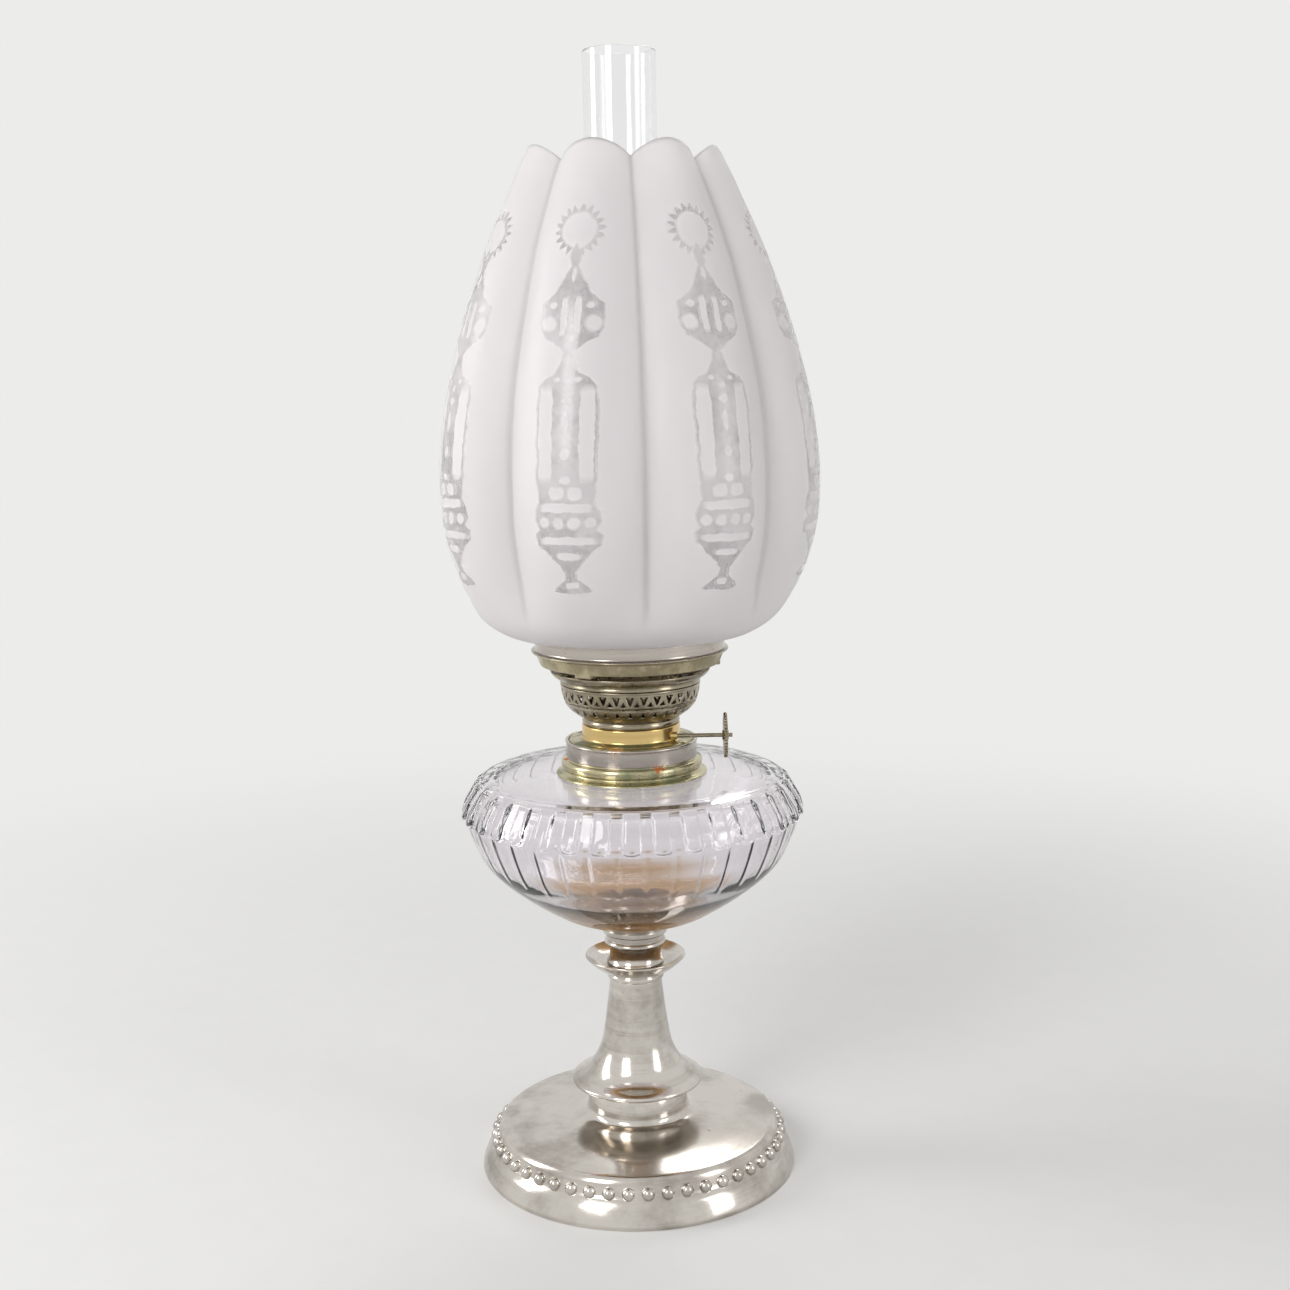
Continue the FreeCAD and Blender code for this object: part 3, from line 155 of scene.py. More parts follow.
class Paint:
    """A material's node tree and the few ways in which nodes are added to it."""

    def __init__(self, name: str) -> None:
        """Start an empty material.

        Args:
            name: the material's name.
        """
        self.material = bpy.data.materials.new(name)
        self.material.use_nodes = True
        self.tree = self.material.node_tree
        self.tree.nodes.clear()

    def node(self, kind: str, inputs: dict[Any, Any] | None = None, **settings: Any) -> bpy.types.Node:
        """Add one node.

        Args:
            kind: the node's type.
            inputs: the values or links of its sockets, by name or number.
            **settings: the node's own settings, which are set first.

        Returns:
            The node.
        """
        node = self.tree.nodes.new(kind)
        for key, value in settings.items():
            setattr(node, key, value)
        for key, value in (inputs or {}).items():
            if isinstance(value, Value):
                self.tree.links.new(value.socket, node.inputs[key])
            else:
                node.inputs[key].default_value = value
        return node

    def math(self, operation: str, *values: Value | float, clamp: bool = False) -> Value:
        """Add a Math node.

        Args:
            operation: the node's operation.
            *values: one to three values.
            clamp: whether the result is kept from 0 to 1.

        Returns:
            The result.
        """
        node = self.node("ShaderNodeMath", dict(enumerate(values)), operation=operation, use_clamp=clamp)
        return Value(self, node.outputs[0])

    def place(self, size: Sequence[float] = (1, 1, 1)) -> Value:
        """Position on the piece in metres.

        Args:
            size: stretch along each axis.

        Returns:
            The position, each part times its stretch.
        """
        where = Value(self, self.node("ShaderNodeTexCoord").outputs["Object"])
        node = self.node("ShaderNodeMapping", {"Vector": where, "Scale": tuple(size)})
        return Value(self, node.outputs[0])

    def along(self, axis: Axis) -> Value:
        """Position on the piece along one axis, in metres."""
        node = self.node("ShaderNodeSeparateXYZ", {0: self.place()})
        return Value(self, node.outputs[axis.value])

    def chart(self, name: str) -> tuple[Value, Value]:
        """Place on a map that the piece carries.

        Args:
            name: the map's name.

        Returns:
            The place across and the place up.
        """
        where = self.node("ShaderNodeUVMap", uv_map=name)
        split = self.node("ShaderNodeSeparateXYZ", {0: Value(self, where.outputs[0])})
        return Value(self, split.outputs[0]), Value(self, split.outputs[1])

    def noise(self, grain: Grain) -> Value:
        """Fractal noise on the piece.

        Args:
            grain: its scale, its finer layers and its stretch.

        Returns:
            A value round one half.
        """
        node = self.node("ShaderNodeTexNoise", {
            "Vector": self.place(grain.stretch), "Scale": grain.scale, "Detail": grain.detail,
            "Roughness": grain.rough})
        return Value(self, node.outputs[0])

    def step(self, value: Value, low: float, high: float) -> Value:
        """Rise smoothly between two levels, or fall where the first is above the second.

        With t the share of the way from the lower level to the higher, the rise is 3 t^2 - 2 t^3.

        Args:
            value: what is measured.
            low: where the result is 0.
            high: where the result is 1.

        Returns:
            The result, from 0 to 1.
        """
        limits = {0: value, 1: min(low, high), 2: max(low, high), 3: 0.0, 4: 1.0}
        node = self.node("ShaderNodeMapRange", limits, interpolation_type="SMOOTHSTEP")
        rise = Value(self, node.outputs[0])
        return rise if low < high else 1 - rise

    def blend(self, share: Value, first: Any, second: Any) -> Value:
        """Mix two colours, the second by its share."""
        node = self.node("ShaderNodeMix", {0: share, 6: first, 7: second}, data_type="RGBA")
        return Value(self, node.outputs[2])

    def bump(self, height: Value, depth: float, strength: float) -> Value:
        """Normal of a surface raised by a height times a depth in metres."""
        node = self.node("ShaderNodeBump", {"Height": height, "Distance": depth, "Strength": strength})
        return Value(self, node.outputs[0])

    def shader(self, **inputs: Any) -> Value:
        """Add a Principled shader; an underscore in a name stands for a space."""
        named = {key.replace("_", " "): value for key, value in inputs.items()}
        return Value(self, self.node("ShaderNodeBsdfPrincipled", named).outputs[0])

    def layer(self, share: Value, first: Value, second: Value) -> Value:
        """Mix two shaders, the second by its share."""
        return Value(self, self.node("ShaderNodeMixShader", {0: share, 1: first, 2: second}).outputs[0])

    def finish(self, shader: Value) -> bpy.types.Material:
        """Link a shader to the output and give back the material."""
        self.node("ShaderNodeOutputMaterial", {0: shader})
        return self.material


def rgba(colour: Colour) -> tuple[float, float, float, float]:
    """A colour with full opacity."""
    return (*colour, 1.0)


@dataclass(frozen=True)
class SpunMetal:
    """Turned and polished sheet metal with tarnish in patches, fine rings from the lathe and scratches."""

    name: str
    bright: Colour
    dull: Colour
    stain: Colour
    stain_share: float
    rough: float
    rough_dull: float
    patches: Grain = Grain(26, 6, 0.62)
    streaks: Grain = Grain(9, 5, 0.7, (1, 1, 26))
    fine: Grain = Grain(420, 3, 0.6)
    rings: Grain = Grain(5, 3, 0.7, (0.6, 0.6, 240))
    scratches: Grain = Grain(60, 7, 0.85, (1, 7, 1.5))
    spots: Grain = Grain(95, 5, 0.7)
    patch_edge: Span = (0.42, 0.68)
    streak_edge: Span = (0.45, 0.75)
    scratch_edge: Span = (0.60, 0.72)
    spot_edge: Span = (0.76, 0.80)
    spot_shift: Span = (0.20, 0.16)
    relief: float = 0.00004

    def build(self) -> bpy.types.Material:
        """Mix bright and dull metal over soft patches, with small stains and rings.

        The stain's share lowers the edges above which the noise of the spots shows.

        Returns:
            The material.
        """
        paint = Paint(self.name)
        broad = paint.step(paint.noise(self.patches), *self.patch_edge)
        streak = paint.noise(self.streaks)
        fine = paint.noise(self.fine)
        ring = paint.noise(self.rings)
        scratch = paint.step(paint.noise(self.scratches), *self.scratch_edge)
        edge = [start - shift * self.stain_share for start, shift in zip(self.spot_edge, self.spot_shift)]
        spots = paint.step(paint.noise(self.spots), *edge)
        dullness = paint.math("MINIMUM", broad * 0.75 + paint.step(streak, *self.streak_edge) * 0.4, 1.0)
        metal = paint.blend(dullness, rgba(self.bright), rgba(self.dull))
        colour = paint.blend(spots * 0.85, metal, rgba(self.stain))
        gain = self.rough_dull - self.rough
        rough = dullness * gain + fine * 0.06 + scratch * 0.08 + spots * 0.25 + self.rough
        height = ring * 0.5 + fine * 0.25 + scratch * 0.3
        return paint.finish(paint.shader(
            Base_Color=colour, Metallic=1 - spots * 0.5, Roughness=rough,
            Normal=paint.bump(height, self.relief, 0.35)))


@dataclass(frozen=True)
class CollarMetal:
    """Old turned brass: greyed plate on a band, yellow and green patina beside it, and rust specks.

    The band lies between two heights in metres, and its soft edges wander up and down.
    """

    name: str
    plate: Colour = (0.56, 0.52, 0.47)
    brass: Colour = (0.50, 0.45, 0.28)
    green: Colour = (0.24, 0.25, 0.15)
    rust: Colour = (0.50, 0.16, 0.04)
    plate_dull: Colour = (0.34, 0.30, 0.27)
    band_low: float = 0.2284
    band_high: float = 0.2378
    low_edge: Span = (-0.0006, 0.0005)
    high_edge: Span = (0.0006, -0.0004)
    wander: float = 0.0022
    waves: Grain = Grain(90, 5, 0.6)
    patches: Grain = Grain(55, 6, 0.65)
    specks: Grain = Grain(64, 5, 0.6)
    smears: Grain = Grain(14, 5, 0.7, (1, 1, 22))
    fine: Grain = Grain(600, 3, 0.6)
    patch_edge: Span = (0.44, 0.60)
    rust_edge: Span = (0.61, 0.655)
    relief: float = 0.00006

    def build(self) -> bpy.types.Material:
        """Keep the grey plate on the band and let brass, patina and rust show below and at the rim.

        Returns:
            The material.
        """
        paint = Paint(self.name)
        height = paint.along(Axis.Z)
        stray = (paint.noise(self.waves) - 0.5) * self.wander
        band = paint.step(height + stray, *[self.band_low + edge for edge in self.low_edge])
        band = band * paint.step(height + stray, *[self.band_high + edge for edge in self.high_edge])
        patches = paint.step(paint.noise(self.patches), *self.patch_edge)
        rust = paint.step(paint.noise(self.specks), *self.rust_edge) * (1 - band * 0.85)
        aged = paint.blend(patches, rgba(self.brass), rgba(self.green))
        plate = paint.blend(paint.noise(self.smears), rgba(self.plate), rgba(self.plate_dull))
        colour = paint.blend(rust, paint.blend(band, aged, plate), rgba(self.rust))
        fine = paint.noise(self.fine)
        rough = patches * (1 - band) * 0.26 + rust * 0.4 + fine * 0.08 + 0.17
        return paint.finish(paint.shader(
            Base_Color=colour, Metallic=1 - rust * 0.8 - patches * (1 - band) * 0.3, Roughness=rough,
            Normal=paint.bump(patches * (1 - band) * 0.5 + rust + fine * 0.2, self.relief, 0.5)))


@dataclass(frozen=True)
class ClearGlass:
    """Pressed or blown clear glass: a faint tint, dust in patches and a stain that gathers at the bottom.

    The stain is full at one height in metres and gone at the other, and dries to a film.
    """

    name: str
    tint: Colour
    stain: Colour
    stain_foot: float
    stain_head: float
    wave: float = 0.00012
    dust: float = 0.10
    film: float = 0.0
    index: float = 1.5
    paler: float = 1.03
    wander: float = 0.006
    dust_edge: Span = (0.5, 0.75)
    stain_waves: Grain = Grain(40, 4, 0.6)
    tones: Grain = Grain(20, 3, 0.5)
    dust_patches: Grain = Grain(30, 7, 0.7)
    ripples: Grain = Grain(55, 2, 0.5)
    crusts: Grain = Grain(34, 5, 0.6)

    def build(self) -> bpy.types.Material:
        """Tint the glass, stain it below a level, dull it a little in patches and let its surface wave.

        Returns:
            The material.
        """
        paint = Paint(self.name)
        height = paint.along(Axis.Z) + (paint.noise(self.stain_waves) - 0.5) * self.wander
        low = paint.step(height, self.stain_head, self.stain_foot)
        red, green, blue = [min(1.0, part * self.paler) for part in self.tint]
        tone = paint.blend(paint.noise(self.tones), rgba(self.tint), rgba((red, green, blue)))
        colour = paint.blend(low, tone, rgba(self.stain))
        dull = paint.step(paint.noise(self.dust_patches), *self.dust_edge)
        ripple = paint.noise(self.ripples)
        rough = dull * self.dust + low * 0.06 + 0.01
        glass = paint.shader(
            Base_Color=colour, Roughness=rough, IOR=self.index, Transmission_Weight=1.0,
            Normal=paint.bump(ripple, self.wave, 0.5))
        dried = paint.shader(
            Base_Color=rgba(self.stain), Roughness=0.35, IOR=self.index, Transmission_Weight=0.5)
        return paint.finish(paint.layer(paint.noise(self.crusts) * low * self.film, glass, dried))


@dataclass(frozen=True)
class Cotton:
    """Woven cotton wick with a charred lip; its heights and its plait are in metres."""

    name: str
    light: Colour = (0.72, 0.66, 0.52)
    shadow: Colour = (0.47, 0.40, 0.28)
    soot: Colour = (0.03, 0.025, 0.02)
    lip: float = 0.2905
    char: float = 0.0012
    stray: float = 0.001
    pitch: float = 0.0009
    fuzz: Grain = Grain(900, 3, 0.6)
    relief: float = 0.0003

    def build(self) -> bpy.types.Material:
        """Weave the cotton and char its lip: the weave is one sine wave across times one up.

        Returns:
            The material.
        """
        paint = Paint(self.name)
        turns = TURN / self.pitch
        wave = paint.math("SINE", paint.along(Axis.X) * turns)
        weave = wave * paint.math("SINE", paint.along(Axis.Z) * turns)
        fuzz = paint.noise(self.fuzz)
        burnt = paint.step(paint.along(Axis.Z) + (fuzz - 0.5) * self.stray, self.lip, self.lip + self.char)
        thread = paint.blend(weave * 0.25 + fuzz * 0.5, rgba(self.light), rgba(self.shadow))
        colour = paint.blend(burnt, thread, rgba(self.soot))
        return paint.finish(paint.shader(
            Base_Color=colour, Roughness=0.9 - fuzz * 0.15,
            Normal=paint.bump(weave * 0.5 + fuzz, self.relief, 0.8)))


@dataclass(frozen=True)
class Fleck:
    """One frosted spot in the clear ornament: centre, half sizes in millimetres, and how square it is."""

    across: float
    up: float
    half_width: float
    half_height: float
    power: float = 2.0


@dataclass(frozen=True)
class FrostedGlass:
    """Satin white glass with a traditional hanging ornament left clear on each lobe.

    The ornament is in millimetres. Along the creases runs a line of painted shade beside a
    painted highlight, and their edges are shares of half a lobe. They fade out in the bowl,
    between two heights in metres.
    """

    name: str
    white: Colour = (0.965, 0.93, 0.937)
    cloud: Colour = (0.985, 0.965, 0.975)
    # Painted shade along the creases, and a painted highlight beside it.
    crease_shade: Colour = (0.56, 0.54, 0.55)
    crease_highlight: Colour = (0.97, 0.95, 0.95)
    clear: Colour = (0.90, 0.89, 0.90)
    index: float = 1.45
    soft: float = 1.5
    fleck_edge: float = 1.6
    wobble: float = 2.4
    sun_height: float = 497.0
    sun_radius: float = 8.6
    ray_radius: float = 11.0
    ray_length: float = 1.4
    rays: int = 18
    low: float = 326.0
    high: float = 492.0
    widest: float = 20.0
    # Where the painted shade and the painted highlight lie, as shares of half a lobe.
    crease_shade_edge: Span = (0.90, 1.0)
    highlight_rise: Span = (0.72, 0.86)
    highlight_fall: Span = (0.95, 0.88)
    bowl_edge: Span = (0.304, 0.322)
    veil_edge: Span = (0.36, 0.62)
    waves: Grain = Grain(150, 3, 0.5)
    clouds: Grain = Grain(16, 4, 0.55)
    grain: Grain = Grain(1400, 2, 0.6)
    smears: Grain = Grain(70, 5, 0.7)
    veils: Grain = Grain(30, 4, 0.6)
    satin_relief: float = 0.00006
    clear_relief: float = 0.0001

    def widths(self) -> tuple[tuple[float, float], ...]:
        """Height and half width of the ornament's outline, from its foot to its tip, in millimetres."""
        return (
            (326.5, 0.0), (327.5, 10.0), (329.5, 9.0), (334.0, 3.4), (337.5, 3.2), (342.0, 7.0),
            (348.0, 12.5), (350.5, 16.2), (355.5, 17.2), (358.0, 14.6), (362.0, 17.0), (367.0, 16.6),
            (371.5, 14.2), (375.0, 14.8), (379.0, 15.0), (382.5, 15.6), (418.0, 15.8), (425.0, 14.6),
            (428.0, 11.6), (430.0, 7.0), (436.0, 4.0), (440.0, 3.2), (444.5, 8.4), (447.0, 14.0),
            (451.5, 16.4), (463.0, 16.0), (467.0, 10.0), (472.0, 6.6), (480.0, 2.6), (486.5, 3.8),
            (489.5, 1.8), (491.5, 0.0),
        )

    def flecks(self) -> tuple[Fleck, ...]:
        """The frosted spots inside the clear outline."""
        return (
            Fleck(0, 331.0, 3.0, 1.7, 4), Fleck(0, 345.4, 6.0, 1.8, 3),
            Fleck(0, 352.6, 13.2, 2.0, 5), Fleck(-11.4, 361.2, 2.7, 2.4), Fleck(-4.0, 361.0, 2.9, 2.7),
            Fleck(3.6, 361.0, 2.9, 2.7), Fleck(11.2, 361.2, 2.7, 2.4), Fleck(0, 368.2, 12.6, 2.2, 5),
            Fleck(-4.6, 375.2, 3.6, 3.0, 3), Fleck(4.6, 375.2, 3.6, 3.0, 3), Fleck(0, 381.0, 2.6, 1.8),
            Fleck(-10.2, 402.5, 3.6, 21.5, 6), Fleck(10.2, 402.5, 3.6, 21.5, 6),
            Fleck(0, 393.4, 2.2, 2.6), Fleck(0, 408.0, 1.7, 4.6), Fleck(0, 417.6, 2.5, 1.8),
            Fleck(0, 424.0, 1.8, 1.5), Fleck(-5.2, 427.4, 1.5, 1.2), Fleck(5.2, 427.4, 1.5, 1.2),
            Fleck(-3.4, 457.0, 1.7, 8.6, 5), Fleck(3.4, 457.0, 1.7, 8.6, 5), Fleck(-11.0, 453.4, 3.9, 3.9),
            Fleck(11.0, 453.4, 3.9, 3.9), Fleck(-9.4, 462.0, 2.0, 1.6), Fleck(9.4, 462.0, 2.0, 1.6),
            Fleck(0, 476.0, 1.2, 3.0),
        )

    def outline(self, paint: Paint, up: Value) -> Value:
        """Half width of the outline at a height, read from a ramp of its corners.

        Args:
            paint: the material.
            up: the height in millimetres.

        Returns:
            The half width in millimetres.
        """
        ramp = paint.node("ShaderNodeValToRGB", {0: (up - self.low) / (self.high - self.low)})
        stops = ramp.color_ramp.elements
        places = self.widths()
        while len(stops) < len(places):
            stops.new(1.0)
        for stop, (height, width) in zip(stops, places):
            stop.position = (height - self.low) / (self.high - self.low)
            stop.color = (*[width / self.widest] * 3, 1.0)
        return Value(paint, ramp.outputs[0]) * self.widest

    def ornament(self, paint: Paint) -> Value:
        """Share of clear glass at a point of the lobe: outline less its flecks, and the rayed ring above.

        The outline is clear where its half width is more than the distance from the lobe's crest. A fleck is
        frosted where (x / half width)^power + (y / half height)^power is under 1. The ring lies between a
        circle and a line whose distance from the middle goes up and down with the rays.

        Args:
            paint: the material.

        Returns:
            The share, from 0 to 1.
        """
        across, up = paint.chart("lobe")
        stray = (paint.noise(self.waves) - 0.5) * self.wobble
        across = across * (1 / MM) + stray
        up = up * (1 / MM) + stray
        sharp = 1 / self.soft
        clear = paint.math("MULTIPLY", self.outline(paint, up) - abs(across), sharp, clamp=True)
        for fleck in self.flecks():
            wide = abs((across - fleck.across) * (1 / fleck.half_width)) ** fleck.power
            tall = abs((up - fleck.up) * (1 / fleck.half_height)) ** fleck.power
            spot = paint.math("MULTIPLY_ADD", wide + tall - 1, self.fleck_edge / self.soft, 0.5, clamp=True)
            clear = clear * spot
        rise = up - self.sun_height
        reach = paint.math("SQRT", across * across + rise * rise)
        turn = paint.math("ARCTAN2", rise, across)
        ray = paint.math("SINE", turn * self.rays) * self.ray_length + self.ray_radius
        ring = paint.math("MULTIPLY_ADD", ray - reach, sharp, 0.5, clamp=True)
        ring = ring * paint.math("MULTIPLY_ADD", reach - self.sun_radius, sharp, 0.5, clamp=True)
        return paint.math("MAXIMUM", clear, ring)

    def build(self) -> bpy.types.Material:
        """Mix satin and clear glass by the ornament; the satin has a fine grain and slight clouds.

        Along each crease the satin has a line of painted shade, with a painted highlight beside it.

        Returns:
            The material.
        """
        paint = Paint(self.name)
        clear = self.ornament(paint)
        cloud = paint.noise(self.clouds)
        grain = paint.noise(self.grain)
        white = paint.blend(cloud, rgba(self.white), rgba(self.cloud))
        # Painted shade in each crease and a painted highlight beside it, both fading out in the bowl.
        side = abs(paint.chart("bearing")[0])
        deep = paint.step(paint.along(Axis.Z), *self.bowl_edge)
        white = paint.blend(paint.step(side, *self.crease_shade_edge) * deep * 0.4, white, rgba(self.crease_shade))
        painted_highlight = paint.step(side, *self.highlight_rise) * paint.step(side, *self.highlight_fall) * deep
        white = paint.blend(painted_highlight * 0.7, white, rgba(self.crease_highlight))
        satin = paint.shader(
            Base_Color=white, Roughness=grain * 0.1 + 0.42, IOR=self.index, Transmission_Weight=0.5,
            Normal=paint.bump(grain + cloud * 2, self.satin_relief, 0.35))
        smear = paint.noise(self.smears)
        glass = paint.shader(
            Base_Color=rgba(self.clear), Roughness=smear * 0.14 + 0.06, IOR=self.index,
            Transmission_Weight=0.95, Normal=paint.bump(smear, self.clear_relief, 0.4))
        veil = paint.step(paint.noise(self.veils), *self.veil_edge)
        return paint.finish(paint.layer(clear * (0.85 - veil * 0.4), satin, glass))


# Shapes


def rounded(corners: Sequence[Corner], steps: int = 5) -> np.ndarray:
    """Bend each corner of a closed profile over a parabola.

    The parabola starts and ends at the corner's reach from it, or near half way to its neighbour:
    (1 - t)^2 start + 2 t (1 - t) corner + t^2 end, for t from 0 to 1.

    Args:
        corners: radius, height and reach of each corner in millimetres.
        steps: points to a corner.

    Returns:
        The profile's points, radius and height in millimetres.
    """
    least, most = 1e-4, 0.49
    table = np.array(corners, float)
    spots = table[:, :2]
    reach = table[:, 2:3] + least
    ends = []
    for shift in (1, -1):
        side = np.roll(spots, shift, 0) - spots
        length = np.linalg.norm(side, axis=1, keepdims=True)
        ends.append(spots + side * np.minimum(reach / length, most))
    start, stop = ends[0][:, None], ends[1][:, None]
    t = np.linspace(0, 1, steps)[None, :, None]
    curve = (1 - t) ** 2 * start + 2 * t * (1 - t) * spots[:, None] + t ** 2 * stop
    return curve.reshape(-1, 2)


def through(points: Sequence[tuple[float, float]], steps: int) -> np.ndarray:
    """Carry a smooth cubic through the points of an open profile.

    Its direction at each point is half the step from the point before to the point after.

    Args:
        points: radius and height in millimetres.
        steps: points from one to the next.

    Returns:
        The points of the curve, first and last included.
    """
    spots = np.array(points, float)
    padded = np.vstack([2 * spots[0] - spots[1], spots, 2 * spots[-1] - spots[-2]])
    p0, p1, p2, p3 = (padded[i:len(padded) - 3 + i, None] for i in range(4))
    t = np.linspace(0, 1, steps, endpoint=False)[None, :, None]
    curve = 0.5 * (2 * p1 + (p2 - p0) * t + (2 * p0 - 5 * p1 + 4 * p2 - p3) * t ** 2
                   + (3 * p1 - p0 - 3 * p2 + p3) * t ** 3)
    return np.vstack([curve.reshape(-1, 2), spots[-1:]])


def inward(profile: np.ndarray, wall: float) -> np.ndarray:
    """Move an open profile, drawn upwards on the outside, towards the inside.

    Each point moves along the profile's direction (r, z) there, turned to (-z, r).

    Args:
        profile: radius and height in millimetres.
        wall: how far it moves.

    Returns:
        The moved profile.
    """
    way = np.gradient(profile, axis=0)
    way /= np.linalg.norm(way, axis=1, keepdims=True)
    return profile + np.stack([-way[:, 1], way[:, 0]], 1) * wall


def grid_faces(rows: int, columns: int, wrap_rows: bool, wrap_columns: bool) -> np.ndarray:
    """Corners of the faces of a grid whose point (row, column) has the number row * columns + column.

    Args:
        rows: how many rows the grid has.
        columns: how many columns the grid has.
        wrap_rows: whether the last row joins the first.
        wrap_columns: whether the last column joins the first.

    Returns:
        Four point numbers to a face.
    """
    row, column = np.meshgrid(
        np.arange(rows - (not wrap_rows)), np.arange(columns - (not wrap_columns)), indexing="ij")
    below, beside = (row + 1) % rows, (column + 1) % columns
    corners = [row * columns + column, row * columns + beside,
               below * columns + beside, below * columns + column]
    return np.stack(corners, -1).reshape(-1, 4)


def into_scene(name: str, mesh: bpy.types.Mesh) -> bpy.types.Object:
    """Shade a mesh smoothly and put it into the scene.

    Args:
        name: the object's name.
        mesh: its mesh, in place.

    Returns:
        The object, which stands at the origin.
    """
    mesh.shade_smooth()
    thing = bpy.data.objects.new(name, mesh)
    bpy.context.scene.collection.objects.link(thing)
    return thing


def new_object(name: str, points: np.ndarray, faces: np.ndarray | list) -> bpy.types.Object:
    """Make an object from points and faces, join its doubled points and turn its faces outwards.

    Args:
        name: the object's name.
        points: points in millimetres.
        faces: the point numbers of each face.

    Returns:
        The object, which stands at the origin.
    """
    mesh = bpy.data.meshes.new(name)
    mesh.from_pydata((points.reshape(-1, 3) * MM).tolist(), [], np.asarray(faces).tolist())
    form = bmesh.new()
    form.from_mesh(mesh)
    bmesh.ops.remove_doubles(form, verts=form.verts, dist=SAME_POINT)
    bmesh.ops.dissolve_degenerate(form, edges=form.edges, dist=NO_LENGTH)
    bmesh.ops.recalc_face_normals(form, faces=form.faces)
    form.to_mesh(mesh)
    form.free()
    return into_scene(name, mesh)


def around(profile: np.ndarray, columns: int) -> np.ndarray:
    """Turn a profile round the lamp's axis: (r, z) goes to (r cos a, r sin a, z) for each angle a.

    Args:
        profile: radius and height in millimetres.
        columns: how many angles there are.

    Returns:
        The points, by place on the profile and by angle.
    """
    angle = np.arange(columns) * TURN / columns
    radius, height = profile[:, :1], profile[:, 1:]
    return np.stack([radius * np.cos(angle), radius * np.sin(angle), height + 0 * angle], -1)


def turned(name: str, *profiles: np.ndarray, columns: int = 160) -> bpy.types.Object:
    """Make one object of closed profiles turned round the lamp's axis.

    Args:
        name: the object's name.
        *profiles: radius and height in millimetres.
        columns: how many angles there are.

    Returns:
        The object.
    """
    points, faces, start = [], [], 0
    for profile in profiles:
        points.append(around(profile, columns).reshape(-1, 3))
        faces.append(grid_faces(len(profile), columns, True, True) + start)
        start += len(profile) * columns
    return new_object(name, np.vstack(points), np.vstack(faces))


def dress(thing: bpy.types.Object, body: Body, slot: Slot, finish: bpy.types.Material, *nodes: str) -> None:
    """Give a piece its body and finish, and say which solids it stands for.

    Args:
        thing: the piece.
        body: the body that it rides on.
        slot: its material slot; not used.
        finish: its material.
        *nodes: the solids that it replaces.
    """
    thing.data.materials.clear()
    thing.data.materials.append(finish)
    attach(thing, body.value)
    if nodes:
        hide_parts(*nodes)
    LOG.info("%s rides on %s, %d faces", thing.name, body.value, len(thing.data.polygons))


def recoat(node: str, finish: bpy.types.Material) -> None:
    """Give a solid that stays in view a finish of its own.

    Args:
        node: the solid's node.
        finish: its material.
    """
    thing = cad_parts[node]
    if not thing.material_slots:
        thing.data.materials.append(finish)
    for place in thing.material_slots:
        place.material = finish
    LOG.info("%s keeps its solid", node)


# Sub-assemblies


